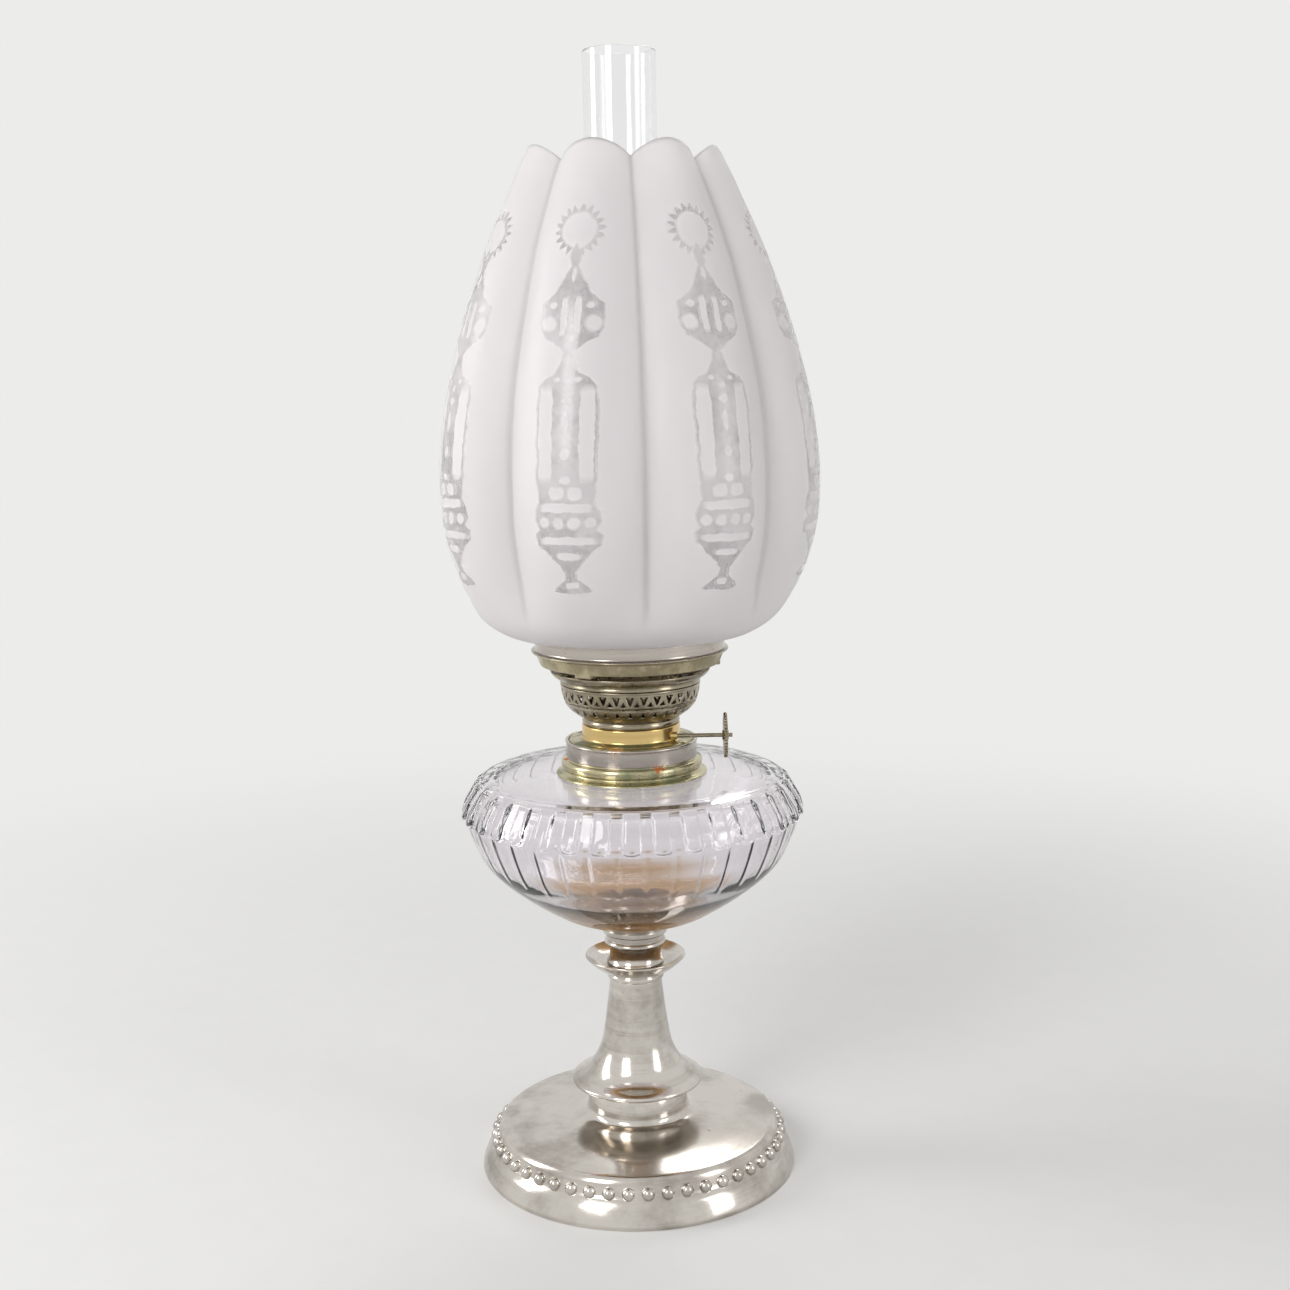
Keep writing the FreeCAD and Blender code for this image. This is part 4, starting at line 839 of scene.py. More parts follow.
@dataclass
class Foot:
    """Plated foot with its row of beads, the stem, the drip dish, the spool and the cup, in millimetres."""

    bead_count: int = 48
    bead_rows: int = 9
    bead_columns: int = 14
    bead_radius: float = 3.5
    bead_ring: float = 78.0
    bead_level: float = 16.0
    bore: float = 3.3

    def shell(self) -> bpy.types.Object:
        """Turn the thin sheet of the foot: skirt, shelf, band, dome and boss."""
        return turned("foot_plated", rounded([
            (86.0, 0.0, 0.5), (86.0, 1.6, 1.0), (84.6, 5.4, 2.5), (82.2, 10.6, 1.6),
            (80.6, 12.6, 1.0), (78.9, 14.4, 1.2), (77.6, 18.6, 2.0), (76.6, 21.6, 1.2),
            (74.6, 23.7, 1.4), (70.0, 24.5, 3.0), (60.0, 26.2, 6.0), (44.0, 27.4, 8.0),
            (31.5, 28.0, 4.0), (27.4, 30.4, 2.4), (27.3, 37.0, 4.0), (24.6, 44.9, 1.0),
            (self.bore, 45.0, 0.1), (self.bore, 43.8, 0.1), (23.2, 43.8, 1.0), (25.9, 37.0, 3.0),
            (26.0, 29.2, 1.6), (31.5, 26.8, 3.0), (44.0, 26.2, 6.0), (60.0, 25.0, 6.0),
            (73.8, 22.4, 1.2), (75.2, 17.0, 2.0), (75.9, 11.0, 0.7), (80.6, 11.0, 0.7),
            (83.4, 3.0, 2.0), (84.2, 0.0, 0.3),
        ]), columns=240)

    def beads(self) -> bpy.types.Object:
        """Set small spheres side by side round the foot's band: middle + radius times the unit sphere.

        Returns:
            The whole row as one object.
        """
        rows, columns = self.bead_rows, self.bead_columns
        rise, spin = np.meshgrid(
            np.linspace(-math.pi / 2, math.pi / 2, rows), np.arange(columns) * TURN / columns, indexing="ij")
        ball = np.stack([np.cos(rise) * np.cos(spin), np.cos(rise) * np.sin(spin), np.sin(rise)], -1)
        turn = (np.arange(self.bead_count) + 0.5) * TURN / self.bead_count
        middle = np.stack([self.bead_ring * np.cos(turn), self.bead_ring * np.sin(turn),
                           np.full(self.bead_count, self.bead_level)], -1)
        points = middle[:, None, :] + ball.reshape(-1, 3)[None] * self.bead_radius
        start = np.arange(self.bead_count) * rows * columns
        faces = grid_faces(rows, columns, False, True)[None] + start[:, None, None]
        return new_object("foot_beads", points, faces.reshape(-1, 4))

    def stem(self) -> bpy.types.Object:
        """Turn the trumpet-shaped stem with its bell rim."""
        return turned("stem_trumpet", rounded([
            (self.bore, 45.0, 0.1), (24.4, 45.0, 0.4), (34.6, 45.7, 1.0), (35.8, 46.6, 0.7),
            (35.7, 48.0, 0.7), (33.6, 49.5, 1.4), (29.4, 51.6, 2.5), (25.0, 55.8, 4.0),
            (21.3, 61.8, 4.0), (18.9, 68.2, 4.0), (17.2, 78.0, 6.0), (15.6, 90.4, 6.0),
            (14.4, 100.0, 3.0), (14.3, 104.5, 0.2), (self.bore, 104.5, 0.1),
        ], 7))

    def dish(self) -> bpy.types.Object:
        """Turn the drip dish with the bead under it."""
        return turned("drip_dish_plated", rounded([
            (self.bore, 104.5, 0.1), (14.8, 104.5, 0.6), (15.5, 105.2, 0.7), (15.5, 106.8, 0.7),
            (14.9, 107.6, 0.4), (16.2, 108.2, 0.8), (19.4, 109.9, 1.5), (23.8, 113.2, 2.5),
            (27.2, 116.6, 0.6), (27.3, 117.3, 0.4), (26.6, 117.7, 0.4), (24.0, 115.6, 2.0),
            (20.6, 113.9, 1.5), (17.0, 113.2, 1.0), (self.bore, 113.2, 0.1),
        ]))

    def spool(self) -> bpy.types.Object:
        """Turn the waisted spool with its bead."""
        return turned("neck_spool_plated", rounded([
            (self.bore, 113.2, 0.1), (15.4, 113.2, 0.4), (15.7, 114.0, 0.5), (14.6, 115.4, 1.0),
            (13.9, 118.0, 1.8), (13.9, 121.6, 1.5), (14.4, 123.4, 0.5), (16.1, 123.6, 0.7),
            (16.9, 125.1, 1.0), (16.1, 126.6, 0.7), (15.6, 126.9, 0.3), (15.9, 129.9, 0.3),
            (self.bore, 130.0, 0.1),
        ]))

    def cup(self) -> bpy.types.Object:
        """Turn the flared cup that holds the font's peg."""
        return turned("peg_cup_plated", rounded([
            (3.0, 130.0, 0.1), (17.0, 130.0, 0.5), (17.6, 130.7, 0.6), (17.6, 133.0, 0.6),
            (17.0, 133.6, 0.3), (18.8, 134.6, 0.8), (22.0, 136.2, 0.3), (21.5, 136.4, 0.3),
            (14.5, 134.1, 0.3), (14.3, 133.0, 0.2), (3.0, 133.0, 0.1),
        ]))

    def build(self, silver: bpy.types.Material, steel: bpy.types.Material) -> None:
        """Make and dress everything below the font.

        Args:
            silver: finish of the plated pieces.
            steel: finish of the hidden fastening.
        """
        dress(self.shell(), Body.LAMP, Slot.SILVER, silver, "foot_shell")
        dress(self.beads(), Body.LAMP, Slot.SILVER, silver)
        dress(self.stem(), Body.LAMP, Slot.SILVER, silver, "stem_column")
        dress(self.dish(), Body.LAMP, Slot.SILVER, silver, "drip_dish")
        dress(self.spool(), Body.LAMP, Slot.SILVER, silver, "neck_spool")
        dress(self.cup(), Body.LAMP, Slot.SILVER, silver, "font_cup")
        for node in ("clamp_plate", "tie_rod", "tie_nut"):
            recoat(node, steel)


@dataclass
class Font:
    """Clear glass font with its band of moulded flutes, and the collar on its neck, in millimetres."""

    flutes: int = 36
    flute_half: float = 5.0
    flute_depth: float = 1.8
    flute_foot: float = 197.6
    flute_head: float = 216.6
    flute_round: float = 3.6
    flute_edge: float = 1.1
    band_radius: float = 90.0
    band_rows: int = 20
    rib_depth: float = 0.55
    rib_share: float = 0.11
    rib_foot: float = 174.0
    rib_foot_fade: float = 5.0
    rib_head: float = 203.0
    rib_head_fade: float = 8.0

    def columns(self) -> np.ndarray:
        """Angles of the grid's columns, close together at the flutes' edges."""
        part = np.array([-0.5, -0.46, -0.42, -0.38, -0.35, -0.325, -0.30, -0.275, -0.24, -0.12, 0, 0.12,
                         0.24, 0.275, 0.30, 0.325, 0.35, 0.38, 0.42, 0.46])
        return ((np.arange(self.flutes)[:, None] + part[None]) * TURN / self.flutes).ravel()

    def outside(self) -> np.ndarray:
        """Profile of the glass outside.

        Returns:
            Radius and height in millimetres, from the peg's foot to the neck.
        """
        bowl = through([
            (14.0, 134.8), (23.7, 137.3), (38.6, 142.3), (48.9, 148.1), (58.0, 154.1), (65.8, 160.0),
            (72.7, 165.9), (78.2, 171.7), (81.9, 177.3), (84.6, 183.1), (87.0, 188.7), (88.9, 194.5),
            (89.9, 198.6),
        ], 4)
        rise = np.linspace(0, 1, self.band_rows)
        band = np.stack([np.interp(rise, (0, 0.35, 1), (self.band_radius, 88.3, 81.6)),
                         np.linspace(199.2, 216.9, self.band_rows)], 1)
        top = [(81.2, 217.3), (80.3, 217.5), (79.6, 217.3), (79.0, 217.7), (78.0, 218.7), (74.0, 219.1),
               (66.0, 219.3), (54.0, 219.4), (40.0, 219.5), (33.4, 219.5), (32.9, 219.8), (32.9, 225.7),
               (32.6, 226.0)]
        return np.vstack([[(0, 133.0), (13.6, 133.0), (14.0, 133.4)], bowl, band, top])

    def inside(self) -> np.ndarray:
        """Profile of the hollow, from the neck down to the floor."""
        down = through([
            (30.4, 216.6), (31.6, 215.6), (50.0, 215.4), (68.0, 215.0), (74.6, 213.6), (78.6, 210.0),
            (84.6, 200.6), (85.0, 196.0), (82.0, 187.6), (77.6, 177.6), (70.6, 170.0), (62.0, 162.8),
            (52.0, 156.4), (42.0, 151.0), (30.0, 147.8), (14.0, 146.5),
        ], 3)
        return np.vstack([[(30.7, 226.0), (30.4, 225.7)], down, [(0, 146.4)]])

    def flute_height(self, angle: np.ndarray, height: np.ndarray) -> np.ndarray:
        """How far the flutes stand out: a smooth step of the depth inside a box with round lower corners.

        Args:
            angle: angle of each column.
            height: height of each row in millimetres.

        Returns:
            The height over the bowl, rows by columns.
        """
        pitch = TURN / self.flutes
        across = np.abs((angle + pitch / 2) % pitch - pitch / 2)[None, :] * self.band_radius
        low = self.flute_foot + self.flute_round - height[:, None]
        side = across - self.flute_half
        corner = np.hypot(np.maximum(low, 0), np.maximum(side + self.flute_round, 0)) - self.flute_round
        gap = np.where(low > 0, corner, side)
        gap = np.maximum(gap, height[:, None] - self.flute_head)
        step = np.clip(-gap / self.flute_edge, 0, 1)
        return self.flute_depth * step * step * (3 - 2 * step)

    def ribs(self, angle: np.ndarray, height: np.ndarray) -> np.ndarray:
        """How far the faint ribs inside the bowl stand in, each between two flutes.

        A rib is the bell exp(-(distance / width)^2), both of them shares of the flutes' spacing, and it
        fades at its foot and its head.

        Args:
            angle: angle of each column.
            height: height of each row in millimetres.

        Returns:
            The height over the inner wall, rows by columns.
        """
        pitch = TURN / self.flutes
        off = np.abs(angle % pitch - pitch / 2)[None, :] / pitch
        bell = np.exp(-(off / self.rib_share) ** 2)
        ends = np.clip((height - self.rib_foot) / self.rib_foot_fade, 0, 1)
        ends = ends * np.clip((self.rib_head - height) / self.rib_head_fade, 0, 1)
        return self.rib_depth * bell * ends[:, None]

    def glass(self) -> bpy.types.Object:
        """Turn the glass: radius = profile + flute height outside, profile less the ribs inside.

        Returns:
            The font's glass.
        """
        outer, inner, angle = self.outside(), self.inside(), self.columns()
        swell = self.flute_height(angle, outer[:, 1])
        tall = outer[:, 1:] + np.zeros_like(swell)
        radius = outer[:, :1] + swell
        radius[0] = 0
        both = np.vstack([radius, inner[:, :1] - self.ribs(angle, inner[:, 1])])
        level = np.vstack([tall, inner[:, 1:] + 0 * angle])
        points = np.stack([both * np.cos(angle), both * np.sin(angle), level], -1)
        return new_object("font_fluted", points, grid_faces(len(both), len(angle), False, True))

    def collar(self) -> bpy.types.Object:
        """Turn the collar with its flange, bead, groove, band and rolled rim."""
        return turned("collar_aged", rounded([
            (33.2, 219.5, 0.1), (40.4, 219.5, 0.2), (40.2, 220.2, 0.3), (37.8, 220.9, 0.8),
            (36.5, 222.1, 0.5), (36.7, 222.9, 0.3), (37.6, 223.6, 0.6), (37.7, 226.2, 1.0),
            (36.9, 227.6, 0.7), (35.0, 227.9, 0.2), (34.6, 228.4, 0.2), (34.9, 228.9, 0.2),
            (34.9, 236.2, 0.3), (35.4, 236.8, 0.4), (35.3, 237.6, 0.4), (34.6, 237.9, 0.4),
            (33.7, 237.6, 0.3), (33.6, 236.6, 0.1), (29.9, 236.6, 0.1), (29.9, 226.4, 0.1),
            (33.2, 226.4, 0.1),
        ]))

    def build(self, glass: bpy.types.Material, aged: bpy.types.Material) -> None:
        """Make and dress the font and its collar.

        Args:
            glass: finish of the font.
            aged: finish of the collar.
        """
        dress(self.glass(), Body.LAMP, Slot.CLEAR_GLASS, glass, "font_glass")
        dress(self.collar(), Body.LAMP, Slot.AGED_BRASS, aged, "collar")


@dataclass
class Burner:
    """Burner base, pierced basket, thumb wheel, wick and gallery, in millimetres."""

    deck: float = 246.4
    periods: int = 32
    basket_sheet: float = 0.7
    sheet_half: float = 3.526
    sheet_low: float = 4.2
    sheet_high: float = 21.6
    bend_first: float = 5.0
    bend_last: float = 21.5
    bend_step: float = 0.9
    wheel_radius: float = 11.9
    wheel_teeth: int = 40
    tooth_columns: int = 6
    tooth_depth: float = 0.55
    tooth_band: float = 1.0
    tooth_rise: float = 0.6
    wheel_middle: float = 49.7
    winder_side: float = -14.0
    winder_level: float = 241.2
    wick_rows: int = 40
    wick_columns: int = 144
    wick_outside: float = 11.9
    wick_inside: float = 9.8
    wick_foot: float = 215.6
    wick_head: float = 292.2
    lip_waves: tuple[tuple[float, int, float], ...] = ((0.25, 23, 0.0), (0.2, 41, 1.0))
    tail_rows: int = 16
    tail_half: float = 12.8
    tail_far: float = -12.0
    tail_near: float = -9.8
    tail_head: float = 216.5
    tail_foot: float = 211.0

    def base(self) -> bpy.types.Object:
        """Turn the skirt that stands for the thread, the flange, the bright wall and the deck."""
        return turned("burner_wall_bright", rounded([
            (28.5, 226.6, 0.1), (29.7, 226.6, 0.2), (29.7, 236.6, 0.1), (33.2, 236.6, 0.2),
            (33.2, 237.6, 0.4), (32.0, 238.4, 0.5), (28.0, 238.4, 0.6), (26.3, 239.4, 0.7),
            (26.2, 243.0, 0.4), (26.2, 246.0, 0.3), (25.8, 246.4, 0.2), (12.75, 246.4, 0.1),
            (12.75, 245.5, 0.1), (25.3, 245.5, 0.1), (25.3, 236.6, 0.1), (28.5, 236.6, 0.1),
        ]))

    def basket_profile(self, height: np.ndarray) -> np.ndarray:
        """Radius of the basket at a height over the deck, by a smooth cubic through its measured places."""
        line = through([(25.4, 3.4), (27.6, 4.6), (32.0, 8.0), (34.6, 11.0), (35.9, 14.4), (36.8, 18.4),
                        (37.1, 22.0)], 12)
        return np.interp(height, line[:, 1], line[:, 0])

    def basket_pattern(self) -> tuple[np.ndarray, list]:
        """One period of the pierced sheet, flat: x in periods from -1/2 to 1/2, y over the deck.

        The sheet is cut along level lines after its holes are left out, so that it can be bent.

        Returns:
            The points, and the faces of the sheet round its holes.
        """
        half, low, high = self.sheet_half, self.sheet_low, self.sheet_high
        edge = [
            (-half, low), (half, low), (half, 12.1), (half - 1.0, 12.6), (half, 13.1), (half, 14.4),
            (half - 1.4, 14.4), (half, 17.2), (half, high), (-half, high), (-half, 17.2),
            (-half + 1.4, 14.4), (-half, 14.4), (-half, 13.1), (-half + 1.0, 12.6), (-half, 12.1),
        ]
        vee = [
            (-2.2, 19.8), (-1.25, 19.8), (-0.55, 18.6), (0.0, 18.0), (0.55, 18.6), (1.25, 19.8),
            (2.2, 19.8), (0.35, 14.9), (-0.35, 14.9),
        ]
        tent = [(-1.5, 7.6), (-0.5, 8.0), (0.5, 8.0), (1.5, 7.6), (0.3, 10.8), (-0.3, 10.8)]
        loops = [[Vector((x, y, 0)) for x, y in loop] for loop in (edge, vee, tent)]
        form = bmesh.new()
        spots = [form.verts.new(point) for loop in loops for point in loop]
        for triple in tessellate_polygon(loops):
            form.faces.new([spots[index] for index in triple])
        for level in np.arange(self.bend_first, self.bend_last, self.bend_step):
            every = form.verts[:] + form.edges[:] + form.faces[:]
            bmesh.ops.bisect_plane(form, geom=every, plane_co=(0, level, 0), plane_no=(0, 1, 0))
        form.verts.index_update()
        points = np.array([vertex.co[:2] for vertex in form.verts])
        faces = [[vertex.index for vertex in face.verts] for face in form.faces]
        form.free()
        points[:, 0] /= 2 * half
        return points, faces

    def basket(self) -> bpy.types.Object:
        """Bend the flat pattern round the burner: angle = period + x, radius = basket profile at y.

        Returns:
            The pierced sheet, whose wall is a live modifier.
        """
        flat, faces = self.basket_pattern()
        angle = (np.arange(self.periods)[:, None] + flat[None, :, 0]) * TURN / self.periods
        radius = self.basket_profile(flat[:, 1])[None]
        points = np.stack([radius * np.cos(angle), radius * np.sin(angle),
                           self.deck + flat[None, :, 1] + 0 * angle], -1)
        mesh = bpy.data.meshes.new("air_basket_pierced")
        every = [[index + period * len(flat) for index in face]
                 for period in range(self.periods) for face in faces]
        mesh.from_pydata((points.reshape(-1, 3) * MM).tolist(), [], every)
        form = bmesh.new()
        form.from_mesh(mesh)
        bmesh.ops.remove_doubles(form, verts=form.verts, dist=SAME_SEAM)
        bmesh.ops.recalc_face_normals(form, faces=form.faces)
        first = form.faces[:][0]
        outward = Vector((*first.calc_center_median()[:2], 0))
        if first.normal.dot(outward) < 0:
            bmesh.ops.reverse_faces(form, faces=form.faces)
        form.to_mesh(mesh)
        form.free()
        thing = into_scene("air_basket_pierced", mesh)
        wall = thing.modifiers.new("wall", "SOLIDIFY")
        wall.thickness = self.basket_sheet * MM
        wall.offset = -1
        return thing

    def basket_rims(self) -> bpy.types.Object:
        """Turn the basket's rolled foot and the bead at its head.

        Returns:
            Both rims as one object.
        """
        deck = self.deck
        foot = rounded([
            (24.4, deck, 0.1), (25.4, deck, 0.3), (26.1, deck + 1.0, 0.8),
            (26.0, deck + 2.4, 0.8), (25.5, deck + 3.2, 0.4), (26.6, deck + 4.2, 0.5),
            (27.6, deck + 4.9, 0.3), (27.0, deck + 5.3, 0.3), (25.0, deck + 4.2, 0.5),
            (24.4, deck + 3.2, 0.4),
        ])
        head = rounded([
            (36.2, deck + 20.9, 0.3), (36.8, deck + 20.6, 0.3), (37.3, deck + 21.2, 0.5),
            (37.2, deck + 22.0, 0.3), (36.2, deck + 22.0, 0.2),
        ])
        return turned("air_basket_rims", foot, head)

    def wheel(self) -> bpy.types.Object:
        """Turn the thumb wheel round its shaft, with milled teeth.

        From a band at the rim outwards the radius is less by the teeth's depth times 1/2 - cos(n a) / 2, for
        n teeth at the angle a.

        Returns:
            The wheel.
        """
        side, rim = self.wheel_middle, self.wheel_radius
        profile = rounded([
            (1.1, side - 1.7, 0.1), (2.4, side - 1.7, 0.3), (3.0, side - 1.0, 0.5), (4.4, side - 0.5, 0.5),
            (9.2, side - 0.5, 0.6), (10.4, side - 0.9, 0.4), (11.5, side - 0.9, 0.2), (rim, side - 0.5, 0.2),
            (rim, side + 0.5, 0.2), (11.5, side + 0.9, 0.2), (10.4, side + 0.9, 0.4), (9.2, side + 0.5, 0.6),
            (4.4, side + 0.5, 0.5), (3.0, side + 1.0, 0.5), (2.4, side + 1.7, 0.3), (1.1, side + 1.7, 0.1),
        ], 4)
        columns = self.wheel_teeth * self.tooth_columns
        angle = np.arange(columns) * TURN / columns
        tooth = 0.5 + 0.5 * np.cos(angle * self.wheel_teeth)
        share = np.clip((profile[:, :1] - (rim - self.tooth_band)) / self.tooth_rise, 0, 1)
        radius = profile[:, :1] - self.tooth_depth * share * (1 - tooth[None])
        points = np.stack([profile[:, 1:] + 0 * angle, self.winder_side + radius * np.cos(angle),
                           self.winder_level + radius * np.sin(angle)], -1)
        return new_object("thumb_wheel_milled", points, grid_faces(len(profile), columns, True, True))

    def wick(self) -> bpy.types.Object:
        """Roll the wick between its tubes, with a frayed lip, and hang its flat tail in the oil.

        The lip goes up and down by two waves round the roll, each with a height, a count and a start. The
        tail is a flat strip whose two ends close to a line.

        Returns:
            The roll and the tail as one object.
        """
        columns, rows = self.wick_columns, self.wick_rows
        angle = np.arange(columns) * TURN / columns
        lip = sum(high * np.sin(angle * count + start) for high, count, start in self.lip_waves)
        up = np.linspace(0, 1, rows)[:, None]
        level = self.wick_foot + (self.wick_head + lip[None] - self.wick_foot) * up
        outer = np.stack([np.full((rows, columns), self.wick_outside), level], -1)
        inner = np.stack([np.full((rows, columns), self.wick_inside), level], -1)[::-1]
        sheet = np.concatenate([outer, inner])
        roll = np.stack([sheet[..., 0] * np.cos(angle), sheet[..., 0] * np.sin(angle), sheet[..., 1]], -1)
        down = np.linspace(self.tail_head, self.tail_foot, self.tail_rows)[:, None]
        wide, far, near = self.tail_half, self.tail_far, self.tail_near
        loop = rounded([(-wide, far, 0.8), (wide, far, 0.8), (wide, near, 0.8), (-wide, near, 0.8)], 6)
        fill = np.ones((self.tail_rows, 1))
        fill[[0, -1]] = 0.0
        middle = (far + near) / 2
        across = loop[None, :, 0] * (0.97 + 0.03 * fill)
        through_strip = middle + (loop[None, :, 1] - middle) * fill
        tail = np.stack([across, through_strip, down + 0 * across], -1)
        faces = [grid_faces(2 * rows, columns, True, True),
                 grid_faces(self.tail_rows, len(loop), False, True) + 2 * rows * columns]
        points = np.vstack([roll.reshape(-1, 3), tail.reshape(-1, 3)])
        return new_object("wick_woven", points, np.vstack(faces))

    def gallery(self) -> bpy.types.Object:
        """Turn the dished gallery with the bead at its neck and its thin rolled rim."""
        return turned("gallery_dish", rounded([
            (21.0, 268.4, 0.1), (36.4, 268.4, 0.2), (37.4, 268.9, 0.5), (37.3, 270.0, 0.6),
            (36.9, 270.6, 0.4), (38.3, 271.2, 0.9), (40.4, 272.4, 1.6), (42.0, 274.1, 1.0),
            (42.6, 275.3, 0.4), (42.3, 275.8, 0.3), (41.7, 275.5, 0.3), (40.7, 273.8, 1.0),
            (38.8, 272.2, 1.4), (36.6, 270.7, 0.8), (35.4, 269.4, 0.4), (21.0, 269.4, 0.1),
        ]))

    def build(self, bright: bpy.types.Material, metal: bpy.types.Material,
              cotton: bpy.types.Material) -> None:
        """Make and dress the burner's pieces.

        Args:
            bright: finish of the burner's wall and the winder's sleeve.
            metal: finish of the worn plate on the other pieces.
            cotton: finish of the wick.
        """
        dress(self.base(), Body.BURNER, Slot.BRIGHT_BRASS, bright, "burner_base")
        dress(self.basket(), Body.BURNER, Slot.BURNER_METAL, metal, "air_basket")
        dress(self.basket_rims(), Body.BURNER, Slot.BURNER_METAL, metal)
        dress(self.wheel(), Body.WINDER, Slot.BURNER_METAL, metal, "thumb_wheel")
        dress(self.wick(), Body.WICK, Slot.COTTON, cotton, "wick")
        dress(self.gallery(), Body.GALLERY, Slot.BURNER_METAL, metal, "gallery")
        for node in ("outer_tube", "inner_air_tube", "winder_bracket", "inner_sprocket", "outer_sprocket",
                     "spring_crown"):
            recoat(node, metal)
        recoat("winder_sleeve", bright)
        recoat("winder_shaft", metal)


@dataclass
class Glassware:
    """Chimney, the ring that carries the shade, and the lobed shade, in millimetres and degrees."""

    arms: int = 3
    arm_half: float = 4.5
    arm_edge: float = 0.3
    lobes: int = 8
    lobe_turn: float = 29.0
    lobe_radius: float = 38.0
    lobe_radius_top: float = 25.0
    lobe_taper: float = 420.0
    bowl_height: float = 294.0
    bowl_fade: float = 38.0
    shade_wall: float = 2.8
    scallop: float = 8.5
    scallop_start: float = 480.0
    scallop_power: float = 1.5
    rim_height: float = 542.0

    def chimney(self) -> bpy.types.Object:
        """Turn the clear chimney: straight foot, sharp waist, long tube, fire-rounded ends."""
        return turned("chimney_clear", rounded([
            (26.5, 269.4, 0.8), (26.5, 290.0, 4.0), (26.5, 309.6, 3.4), (22.4, 314.4, 3.2),
            (17.4, 317.6, 2.4), (17.0, 320.6, 2.4), (18.4, 327.6, 4.0), (18.6, 340.0, 6.0),
            (18.6, 420.0, 6.0), (18.5, 520.0, 6.0), (18.6, 590.0, 0.8), (16.8, 590.0, 0.8),
            (16.8, 520.0, 6.0), (16.8, 420.0, 6.0), (16.8, 340.0, 6.0), (16.6, 327.8, 4.0),
            (15.2, 320.8, 2.0), (15.7, 316.8, 2.0), (21.2, 313.2, 3.0), (24.7, 308.8, 3.0),
            (24.7, 290.0, 4.0), (24.7, 269.4, 0.8),
        ], 7), columns=128)

    def ring(self) -> bpy.types.Object:
        """Turn the shade ring: tapered foot, lip, bright band, ledge."""
        return turned("shade_ring_band", rounded([
            (47.0, 279.0, 0.1), (47.6, 279.0, 0.2), (48.1, 280.1, 1.0), (49.2, 282.9, 1.5),
            (50.1, 285.2, 0.6), (51.8, 285.6, 0.4), (52.4, 286.2, 0.4), (51.8, 286.9, 0.4),
            (50.5, 287.1, 0.3), (50.2, 287.8, 0.3), (50.3, 292.8, 0.4), (50.3, 293.7, 0.3),
            (49.5, 293.8, 0.3), (49.4, 286.0, 0.1), (45.0, 286.0, 0.2), (45.0, 285.2, 0.2),
            (49.0, 285.2, 0.3), (48.4, 282.9, 1.0), (47.4, 280.3, 0.8),
        ]))

    def bars(self) -> bpy.types.Object:
        """Set the flat arms that rest on the gallery: a bar with a bent-up root, repeated round the axis.

        A bar is its side profile at four places across, a little smaller at both ends. An arm turned by a
        has its point (x, y) at (x cos a - y sin a, x sin a + y cos a).

        Returns:
            The arms as one object.
        """
        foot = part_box("shade_ring")[0][2] / MM
        side = rounded([
            (39.0, foot, 0.3), (47.3, foot, 0.3), (47.9, foot + 1.0, 0.4), (47.6, foot + 4.0, 0.3),
            (47.1, foot + 4.0, 0.3), (46.8, foot + 1.8, 0.4), (39.0, foot + 1.8, 0.3),
        ], 4)
        half, flat = self.arm_half, self.arm_half - self.arm_edge
        across = np.array([-half, -flat, flat, half])
        swell = np.array([0.0, 1.0, 1.0, 0.0])
        middle = side.mean(0)
        shape = middle[None] + (side - middle)[None] * (0.985 + 0.015 * swell)[:, None, None]
        block = np.stack([shape[..., 0], across[:, None] + 0 * shape[..., 0], shape[..., 1]], -1)
        caps = np.broadcast_to(block[[0, -1]].mean(1, keepdims=True), (2, len(side), 3))
        block = np.concatenate([caps[:1], block, caps[1:]])
        turn = np.arange(self.arms)[:, None, None] * TURN / self.arms
        x, y, z = block[None, ..., 0], block[None, ..., 1], block[None, ..., 2]
        points = np.stack([x * np.cos(turn) - y * np.sin(turn), x * np.sin(turn) + y * np.cos(turn),
                           z + 0 * turn], -1)
        rows, columns = block.shape[:2]
        start = np.arange(self.arms) * rows * columns
        faces = grid_faces(rows, columns, False, True)[None] + start[:, None, None]
        return new_object("shade_ring_arms", points, faces.reshape(-1, 4))

    def crest(self) -> np.ndarray:
        """Profile over a lobe's crest, from the shade's foot to its rim."""
        return np.vstack([
            [(49.0, 286.1), (49.1, 288.5), (49.2, 291.0)],
            through([
                (49.8, 293.4), (53.0, 294.4), (58.0, 294.9), (65.0, 296.4), (73.6, 301.2), (79.6, 306.6),
                (83.8, 312.4), (87.3, 318.2), (90.3, 323.6), (94.9, 334.1), (98.1, 344.6), (100.3, 355.0),
                (101.3, 365.0), (101.5, 375.0), (101.3, 386.0), (100.3, 396.0), (99.0, 406.0), (97.0, 416.5),
                (94.8, 426.7), (92.2, 436.8), (89.5, 446.8), (86.4, 456.9), (83.0, 466.9), (79.3, 477.0),
                (75.6, 487.0), (71.4, 497.0), (66.9, 507.0), (62.3, 517.0), (57.7, 527.0), (53.4, 535.6),
                (49.9, 542.0),
            ], 4),
        ])

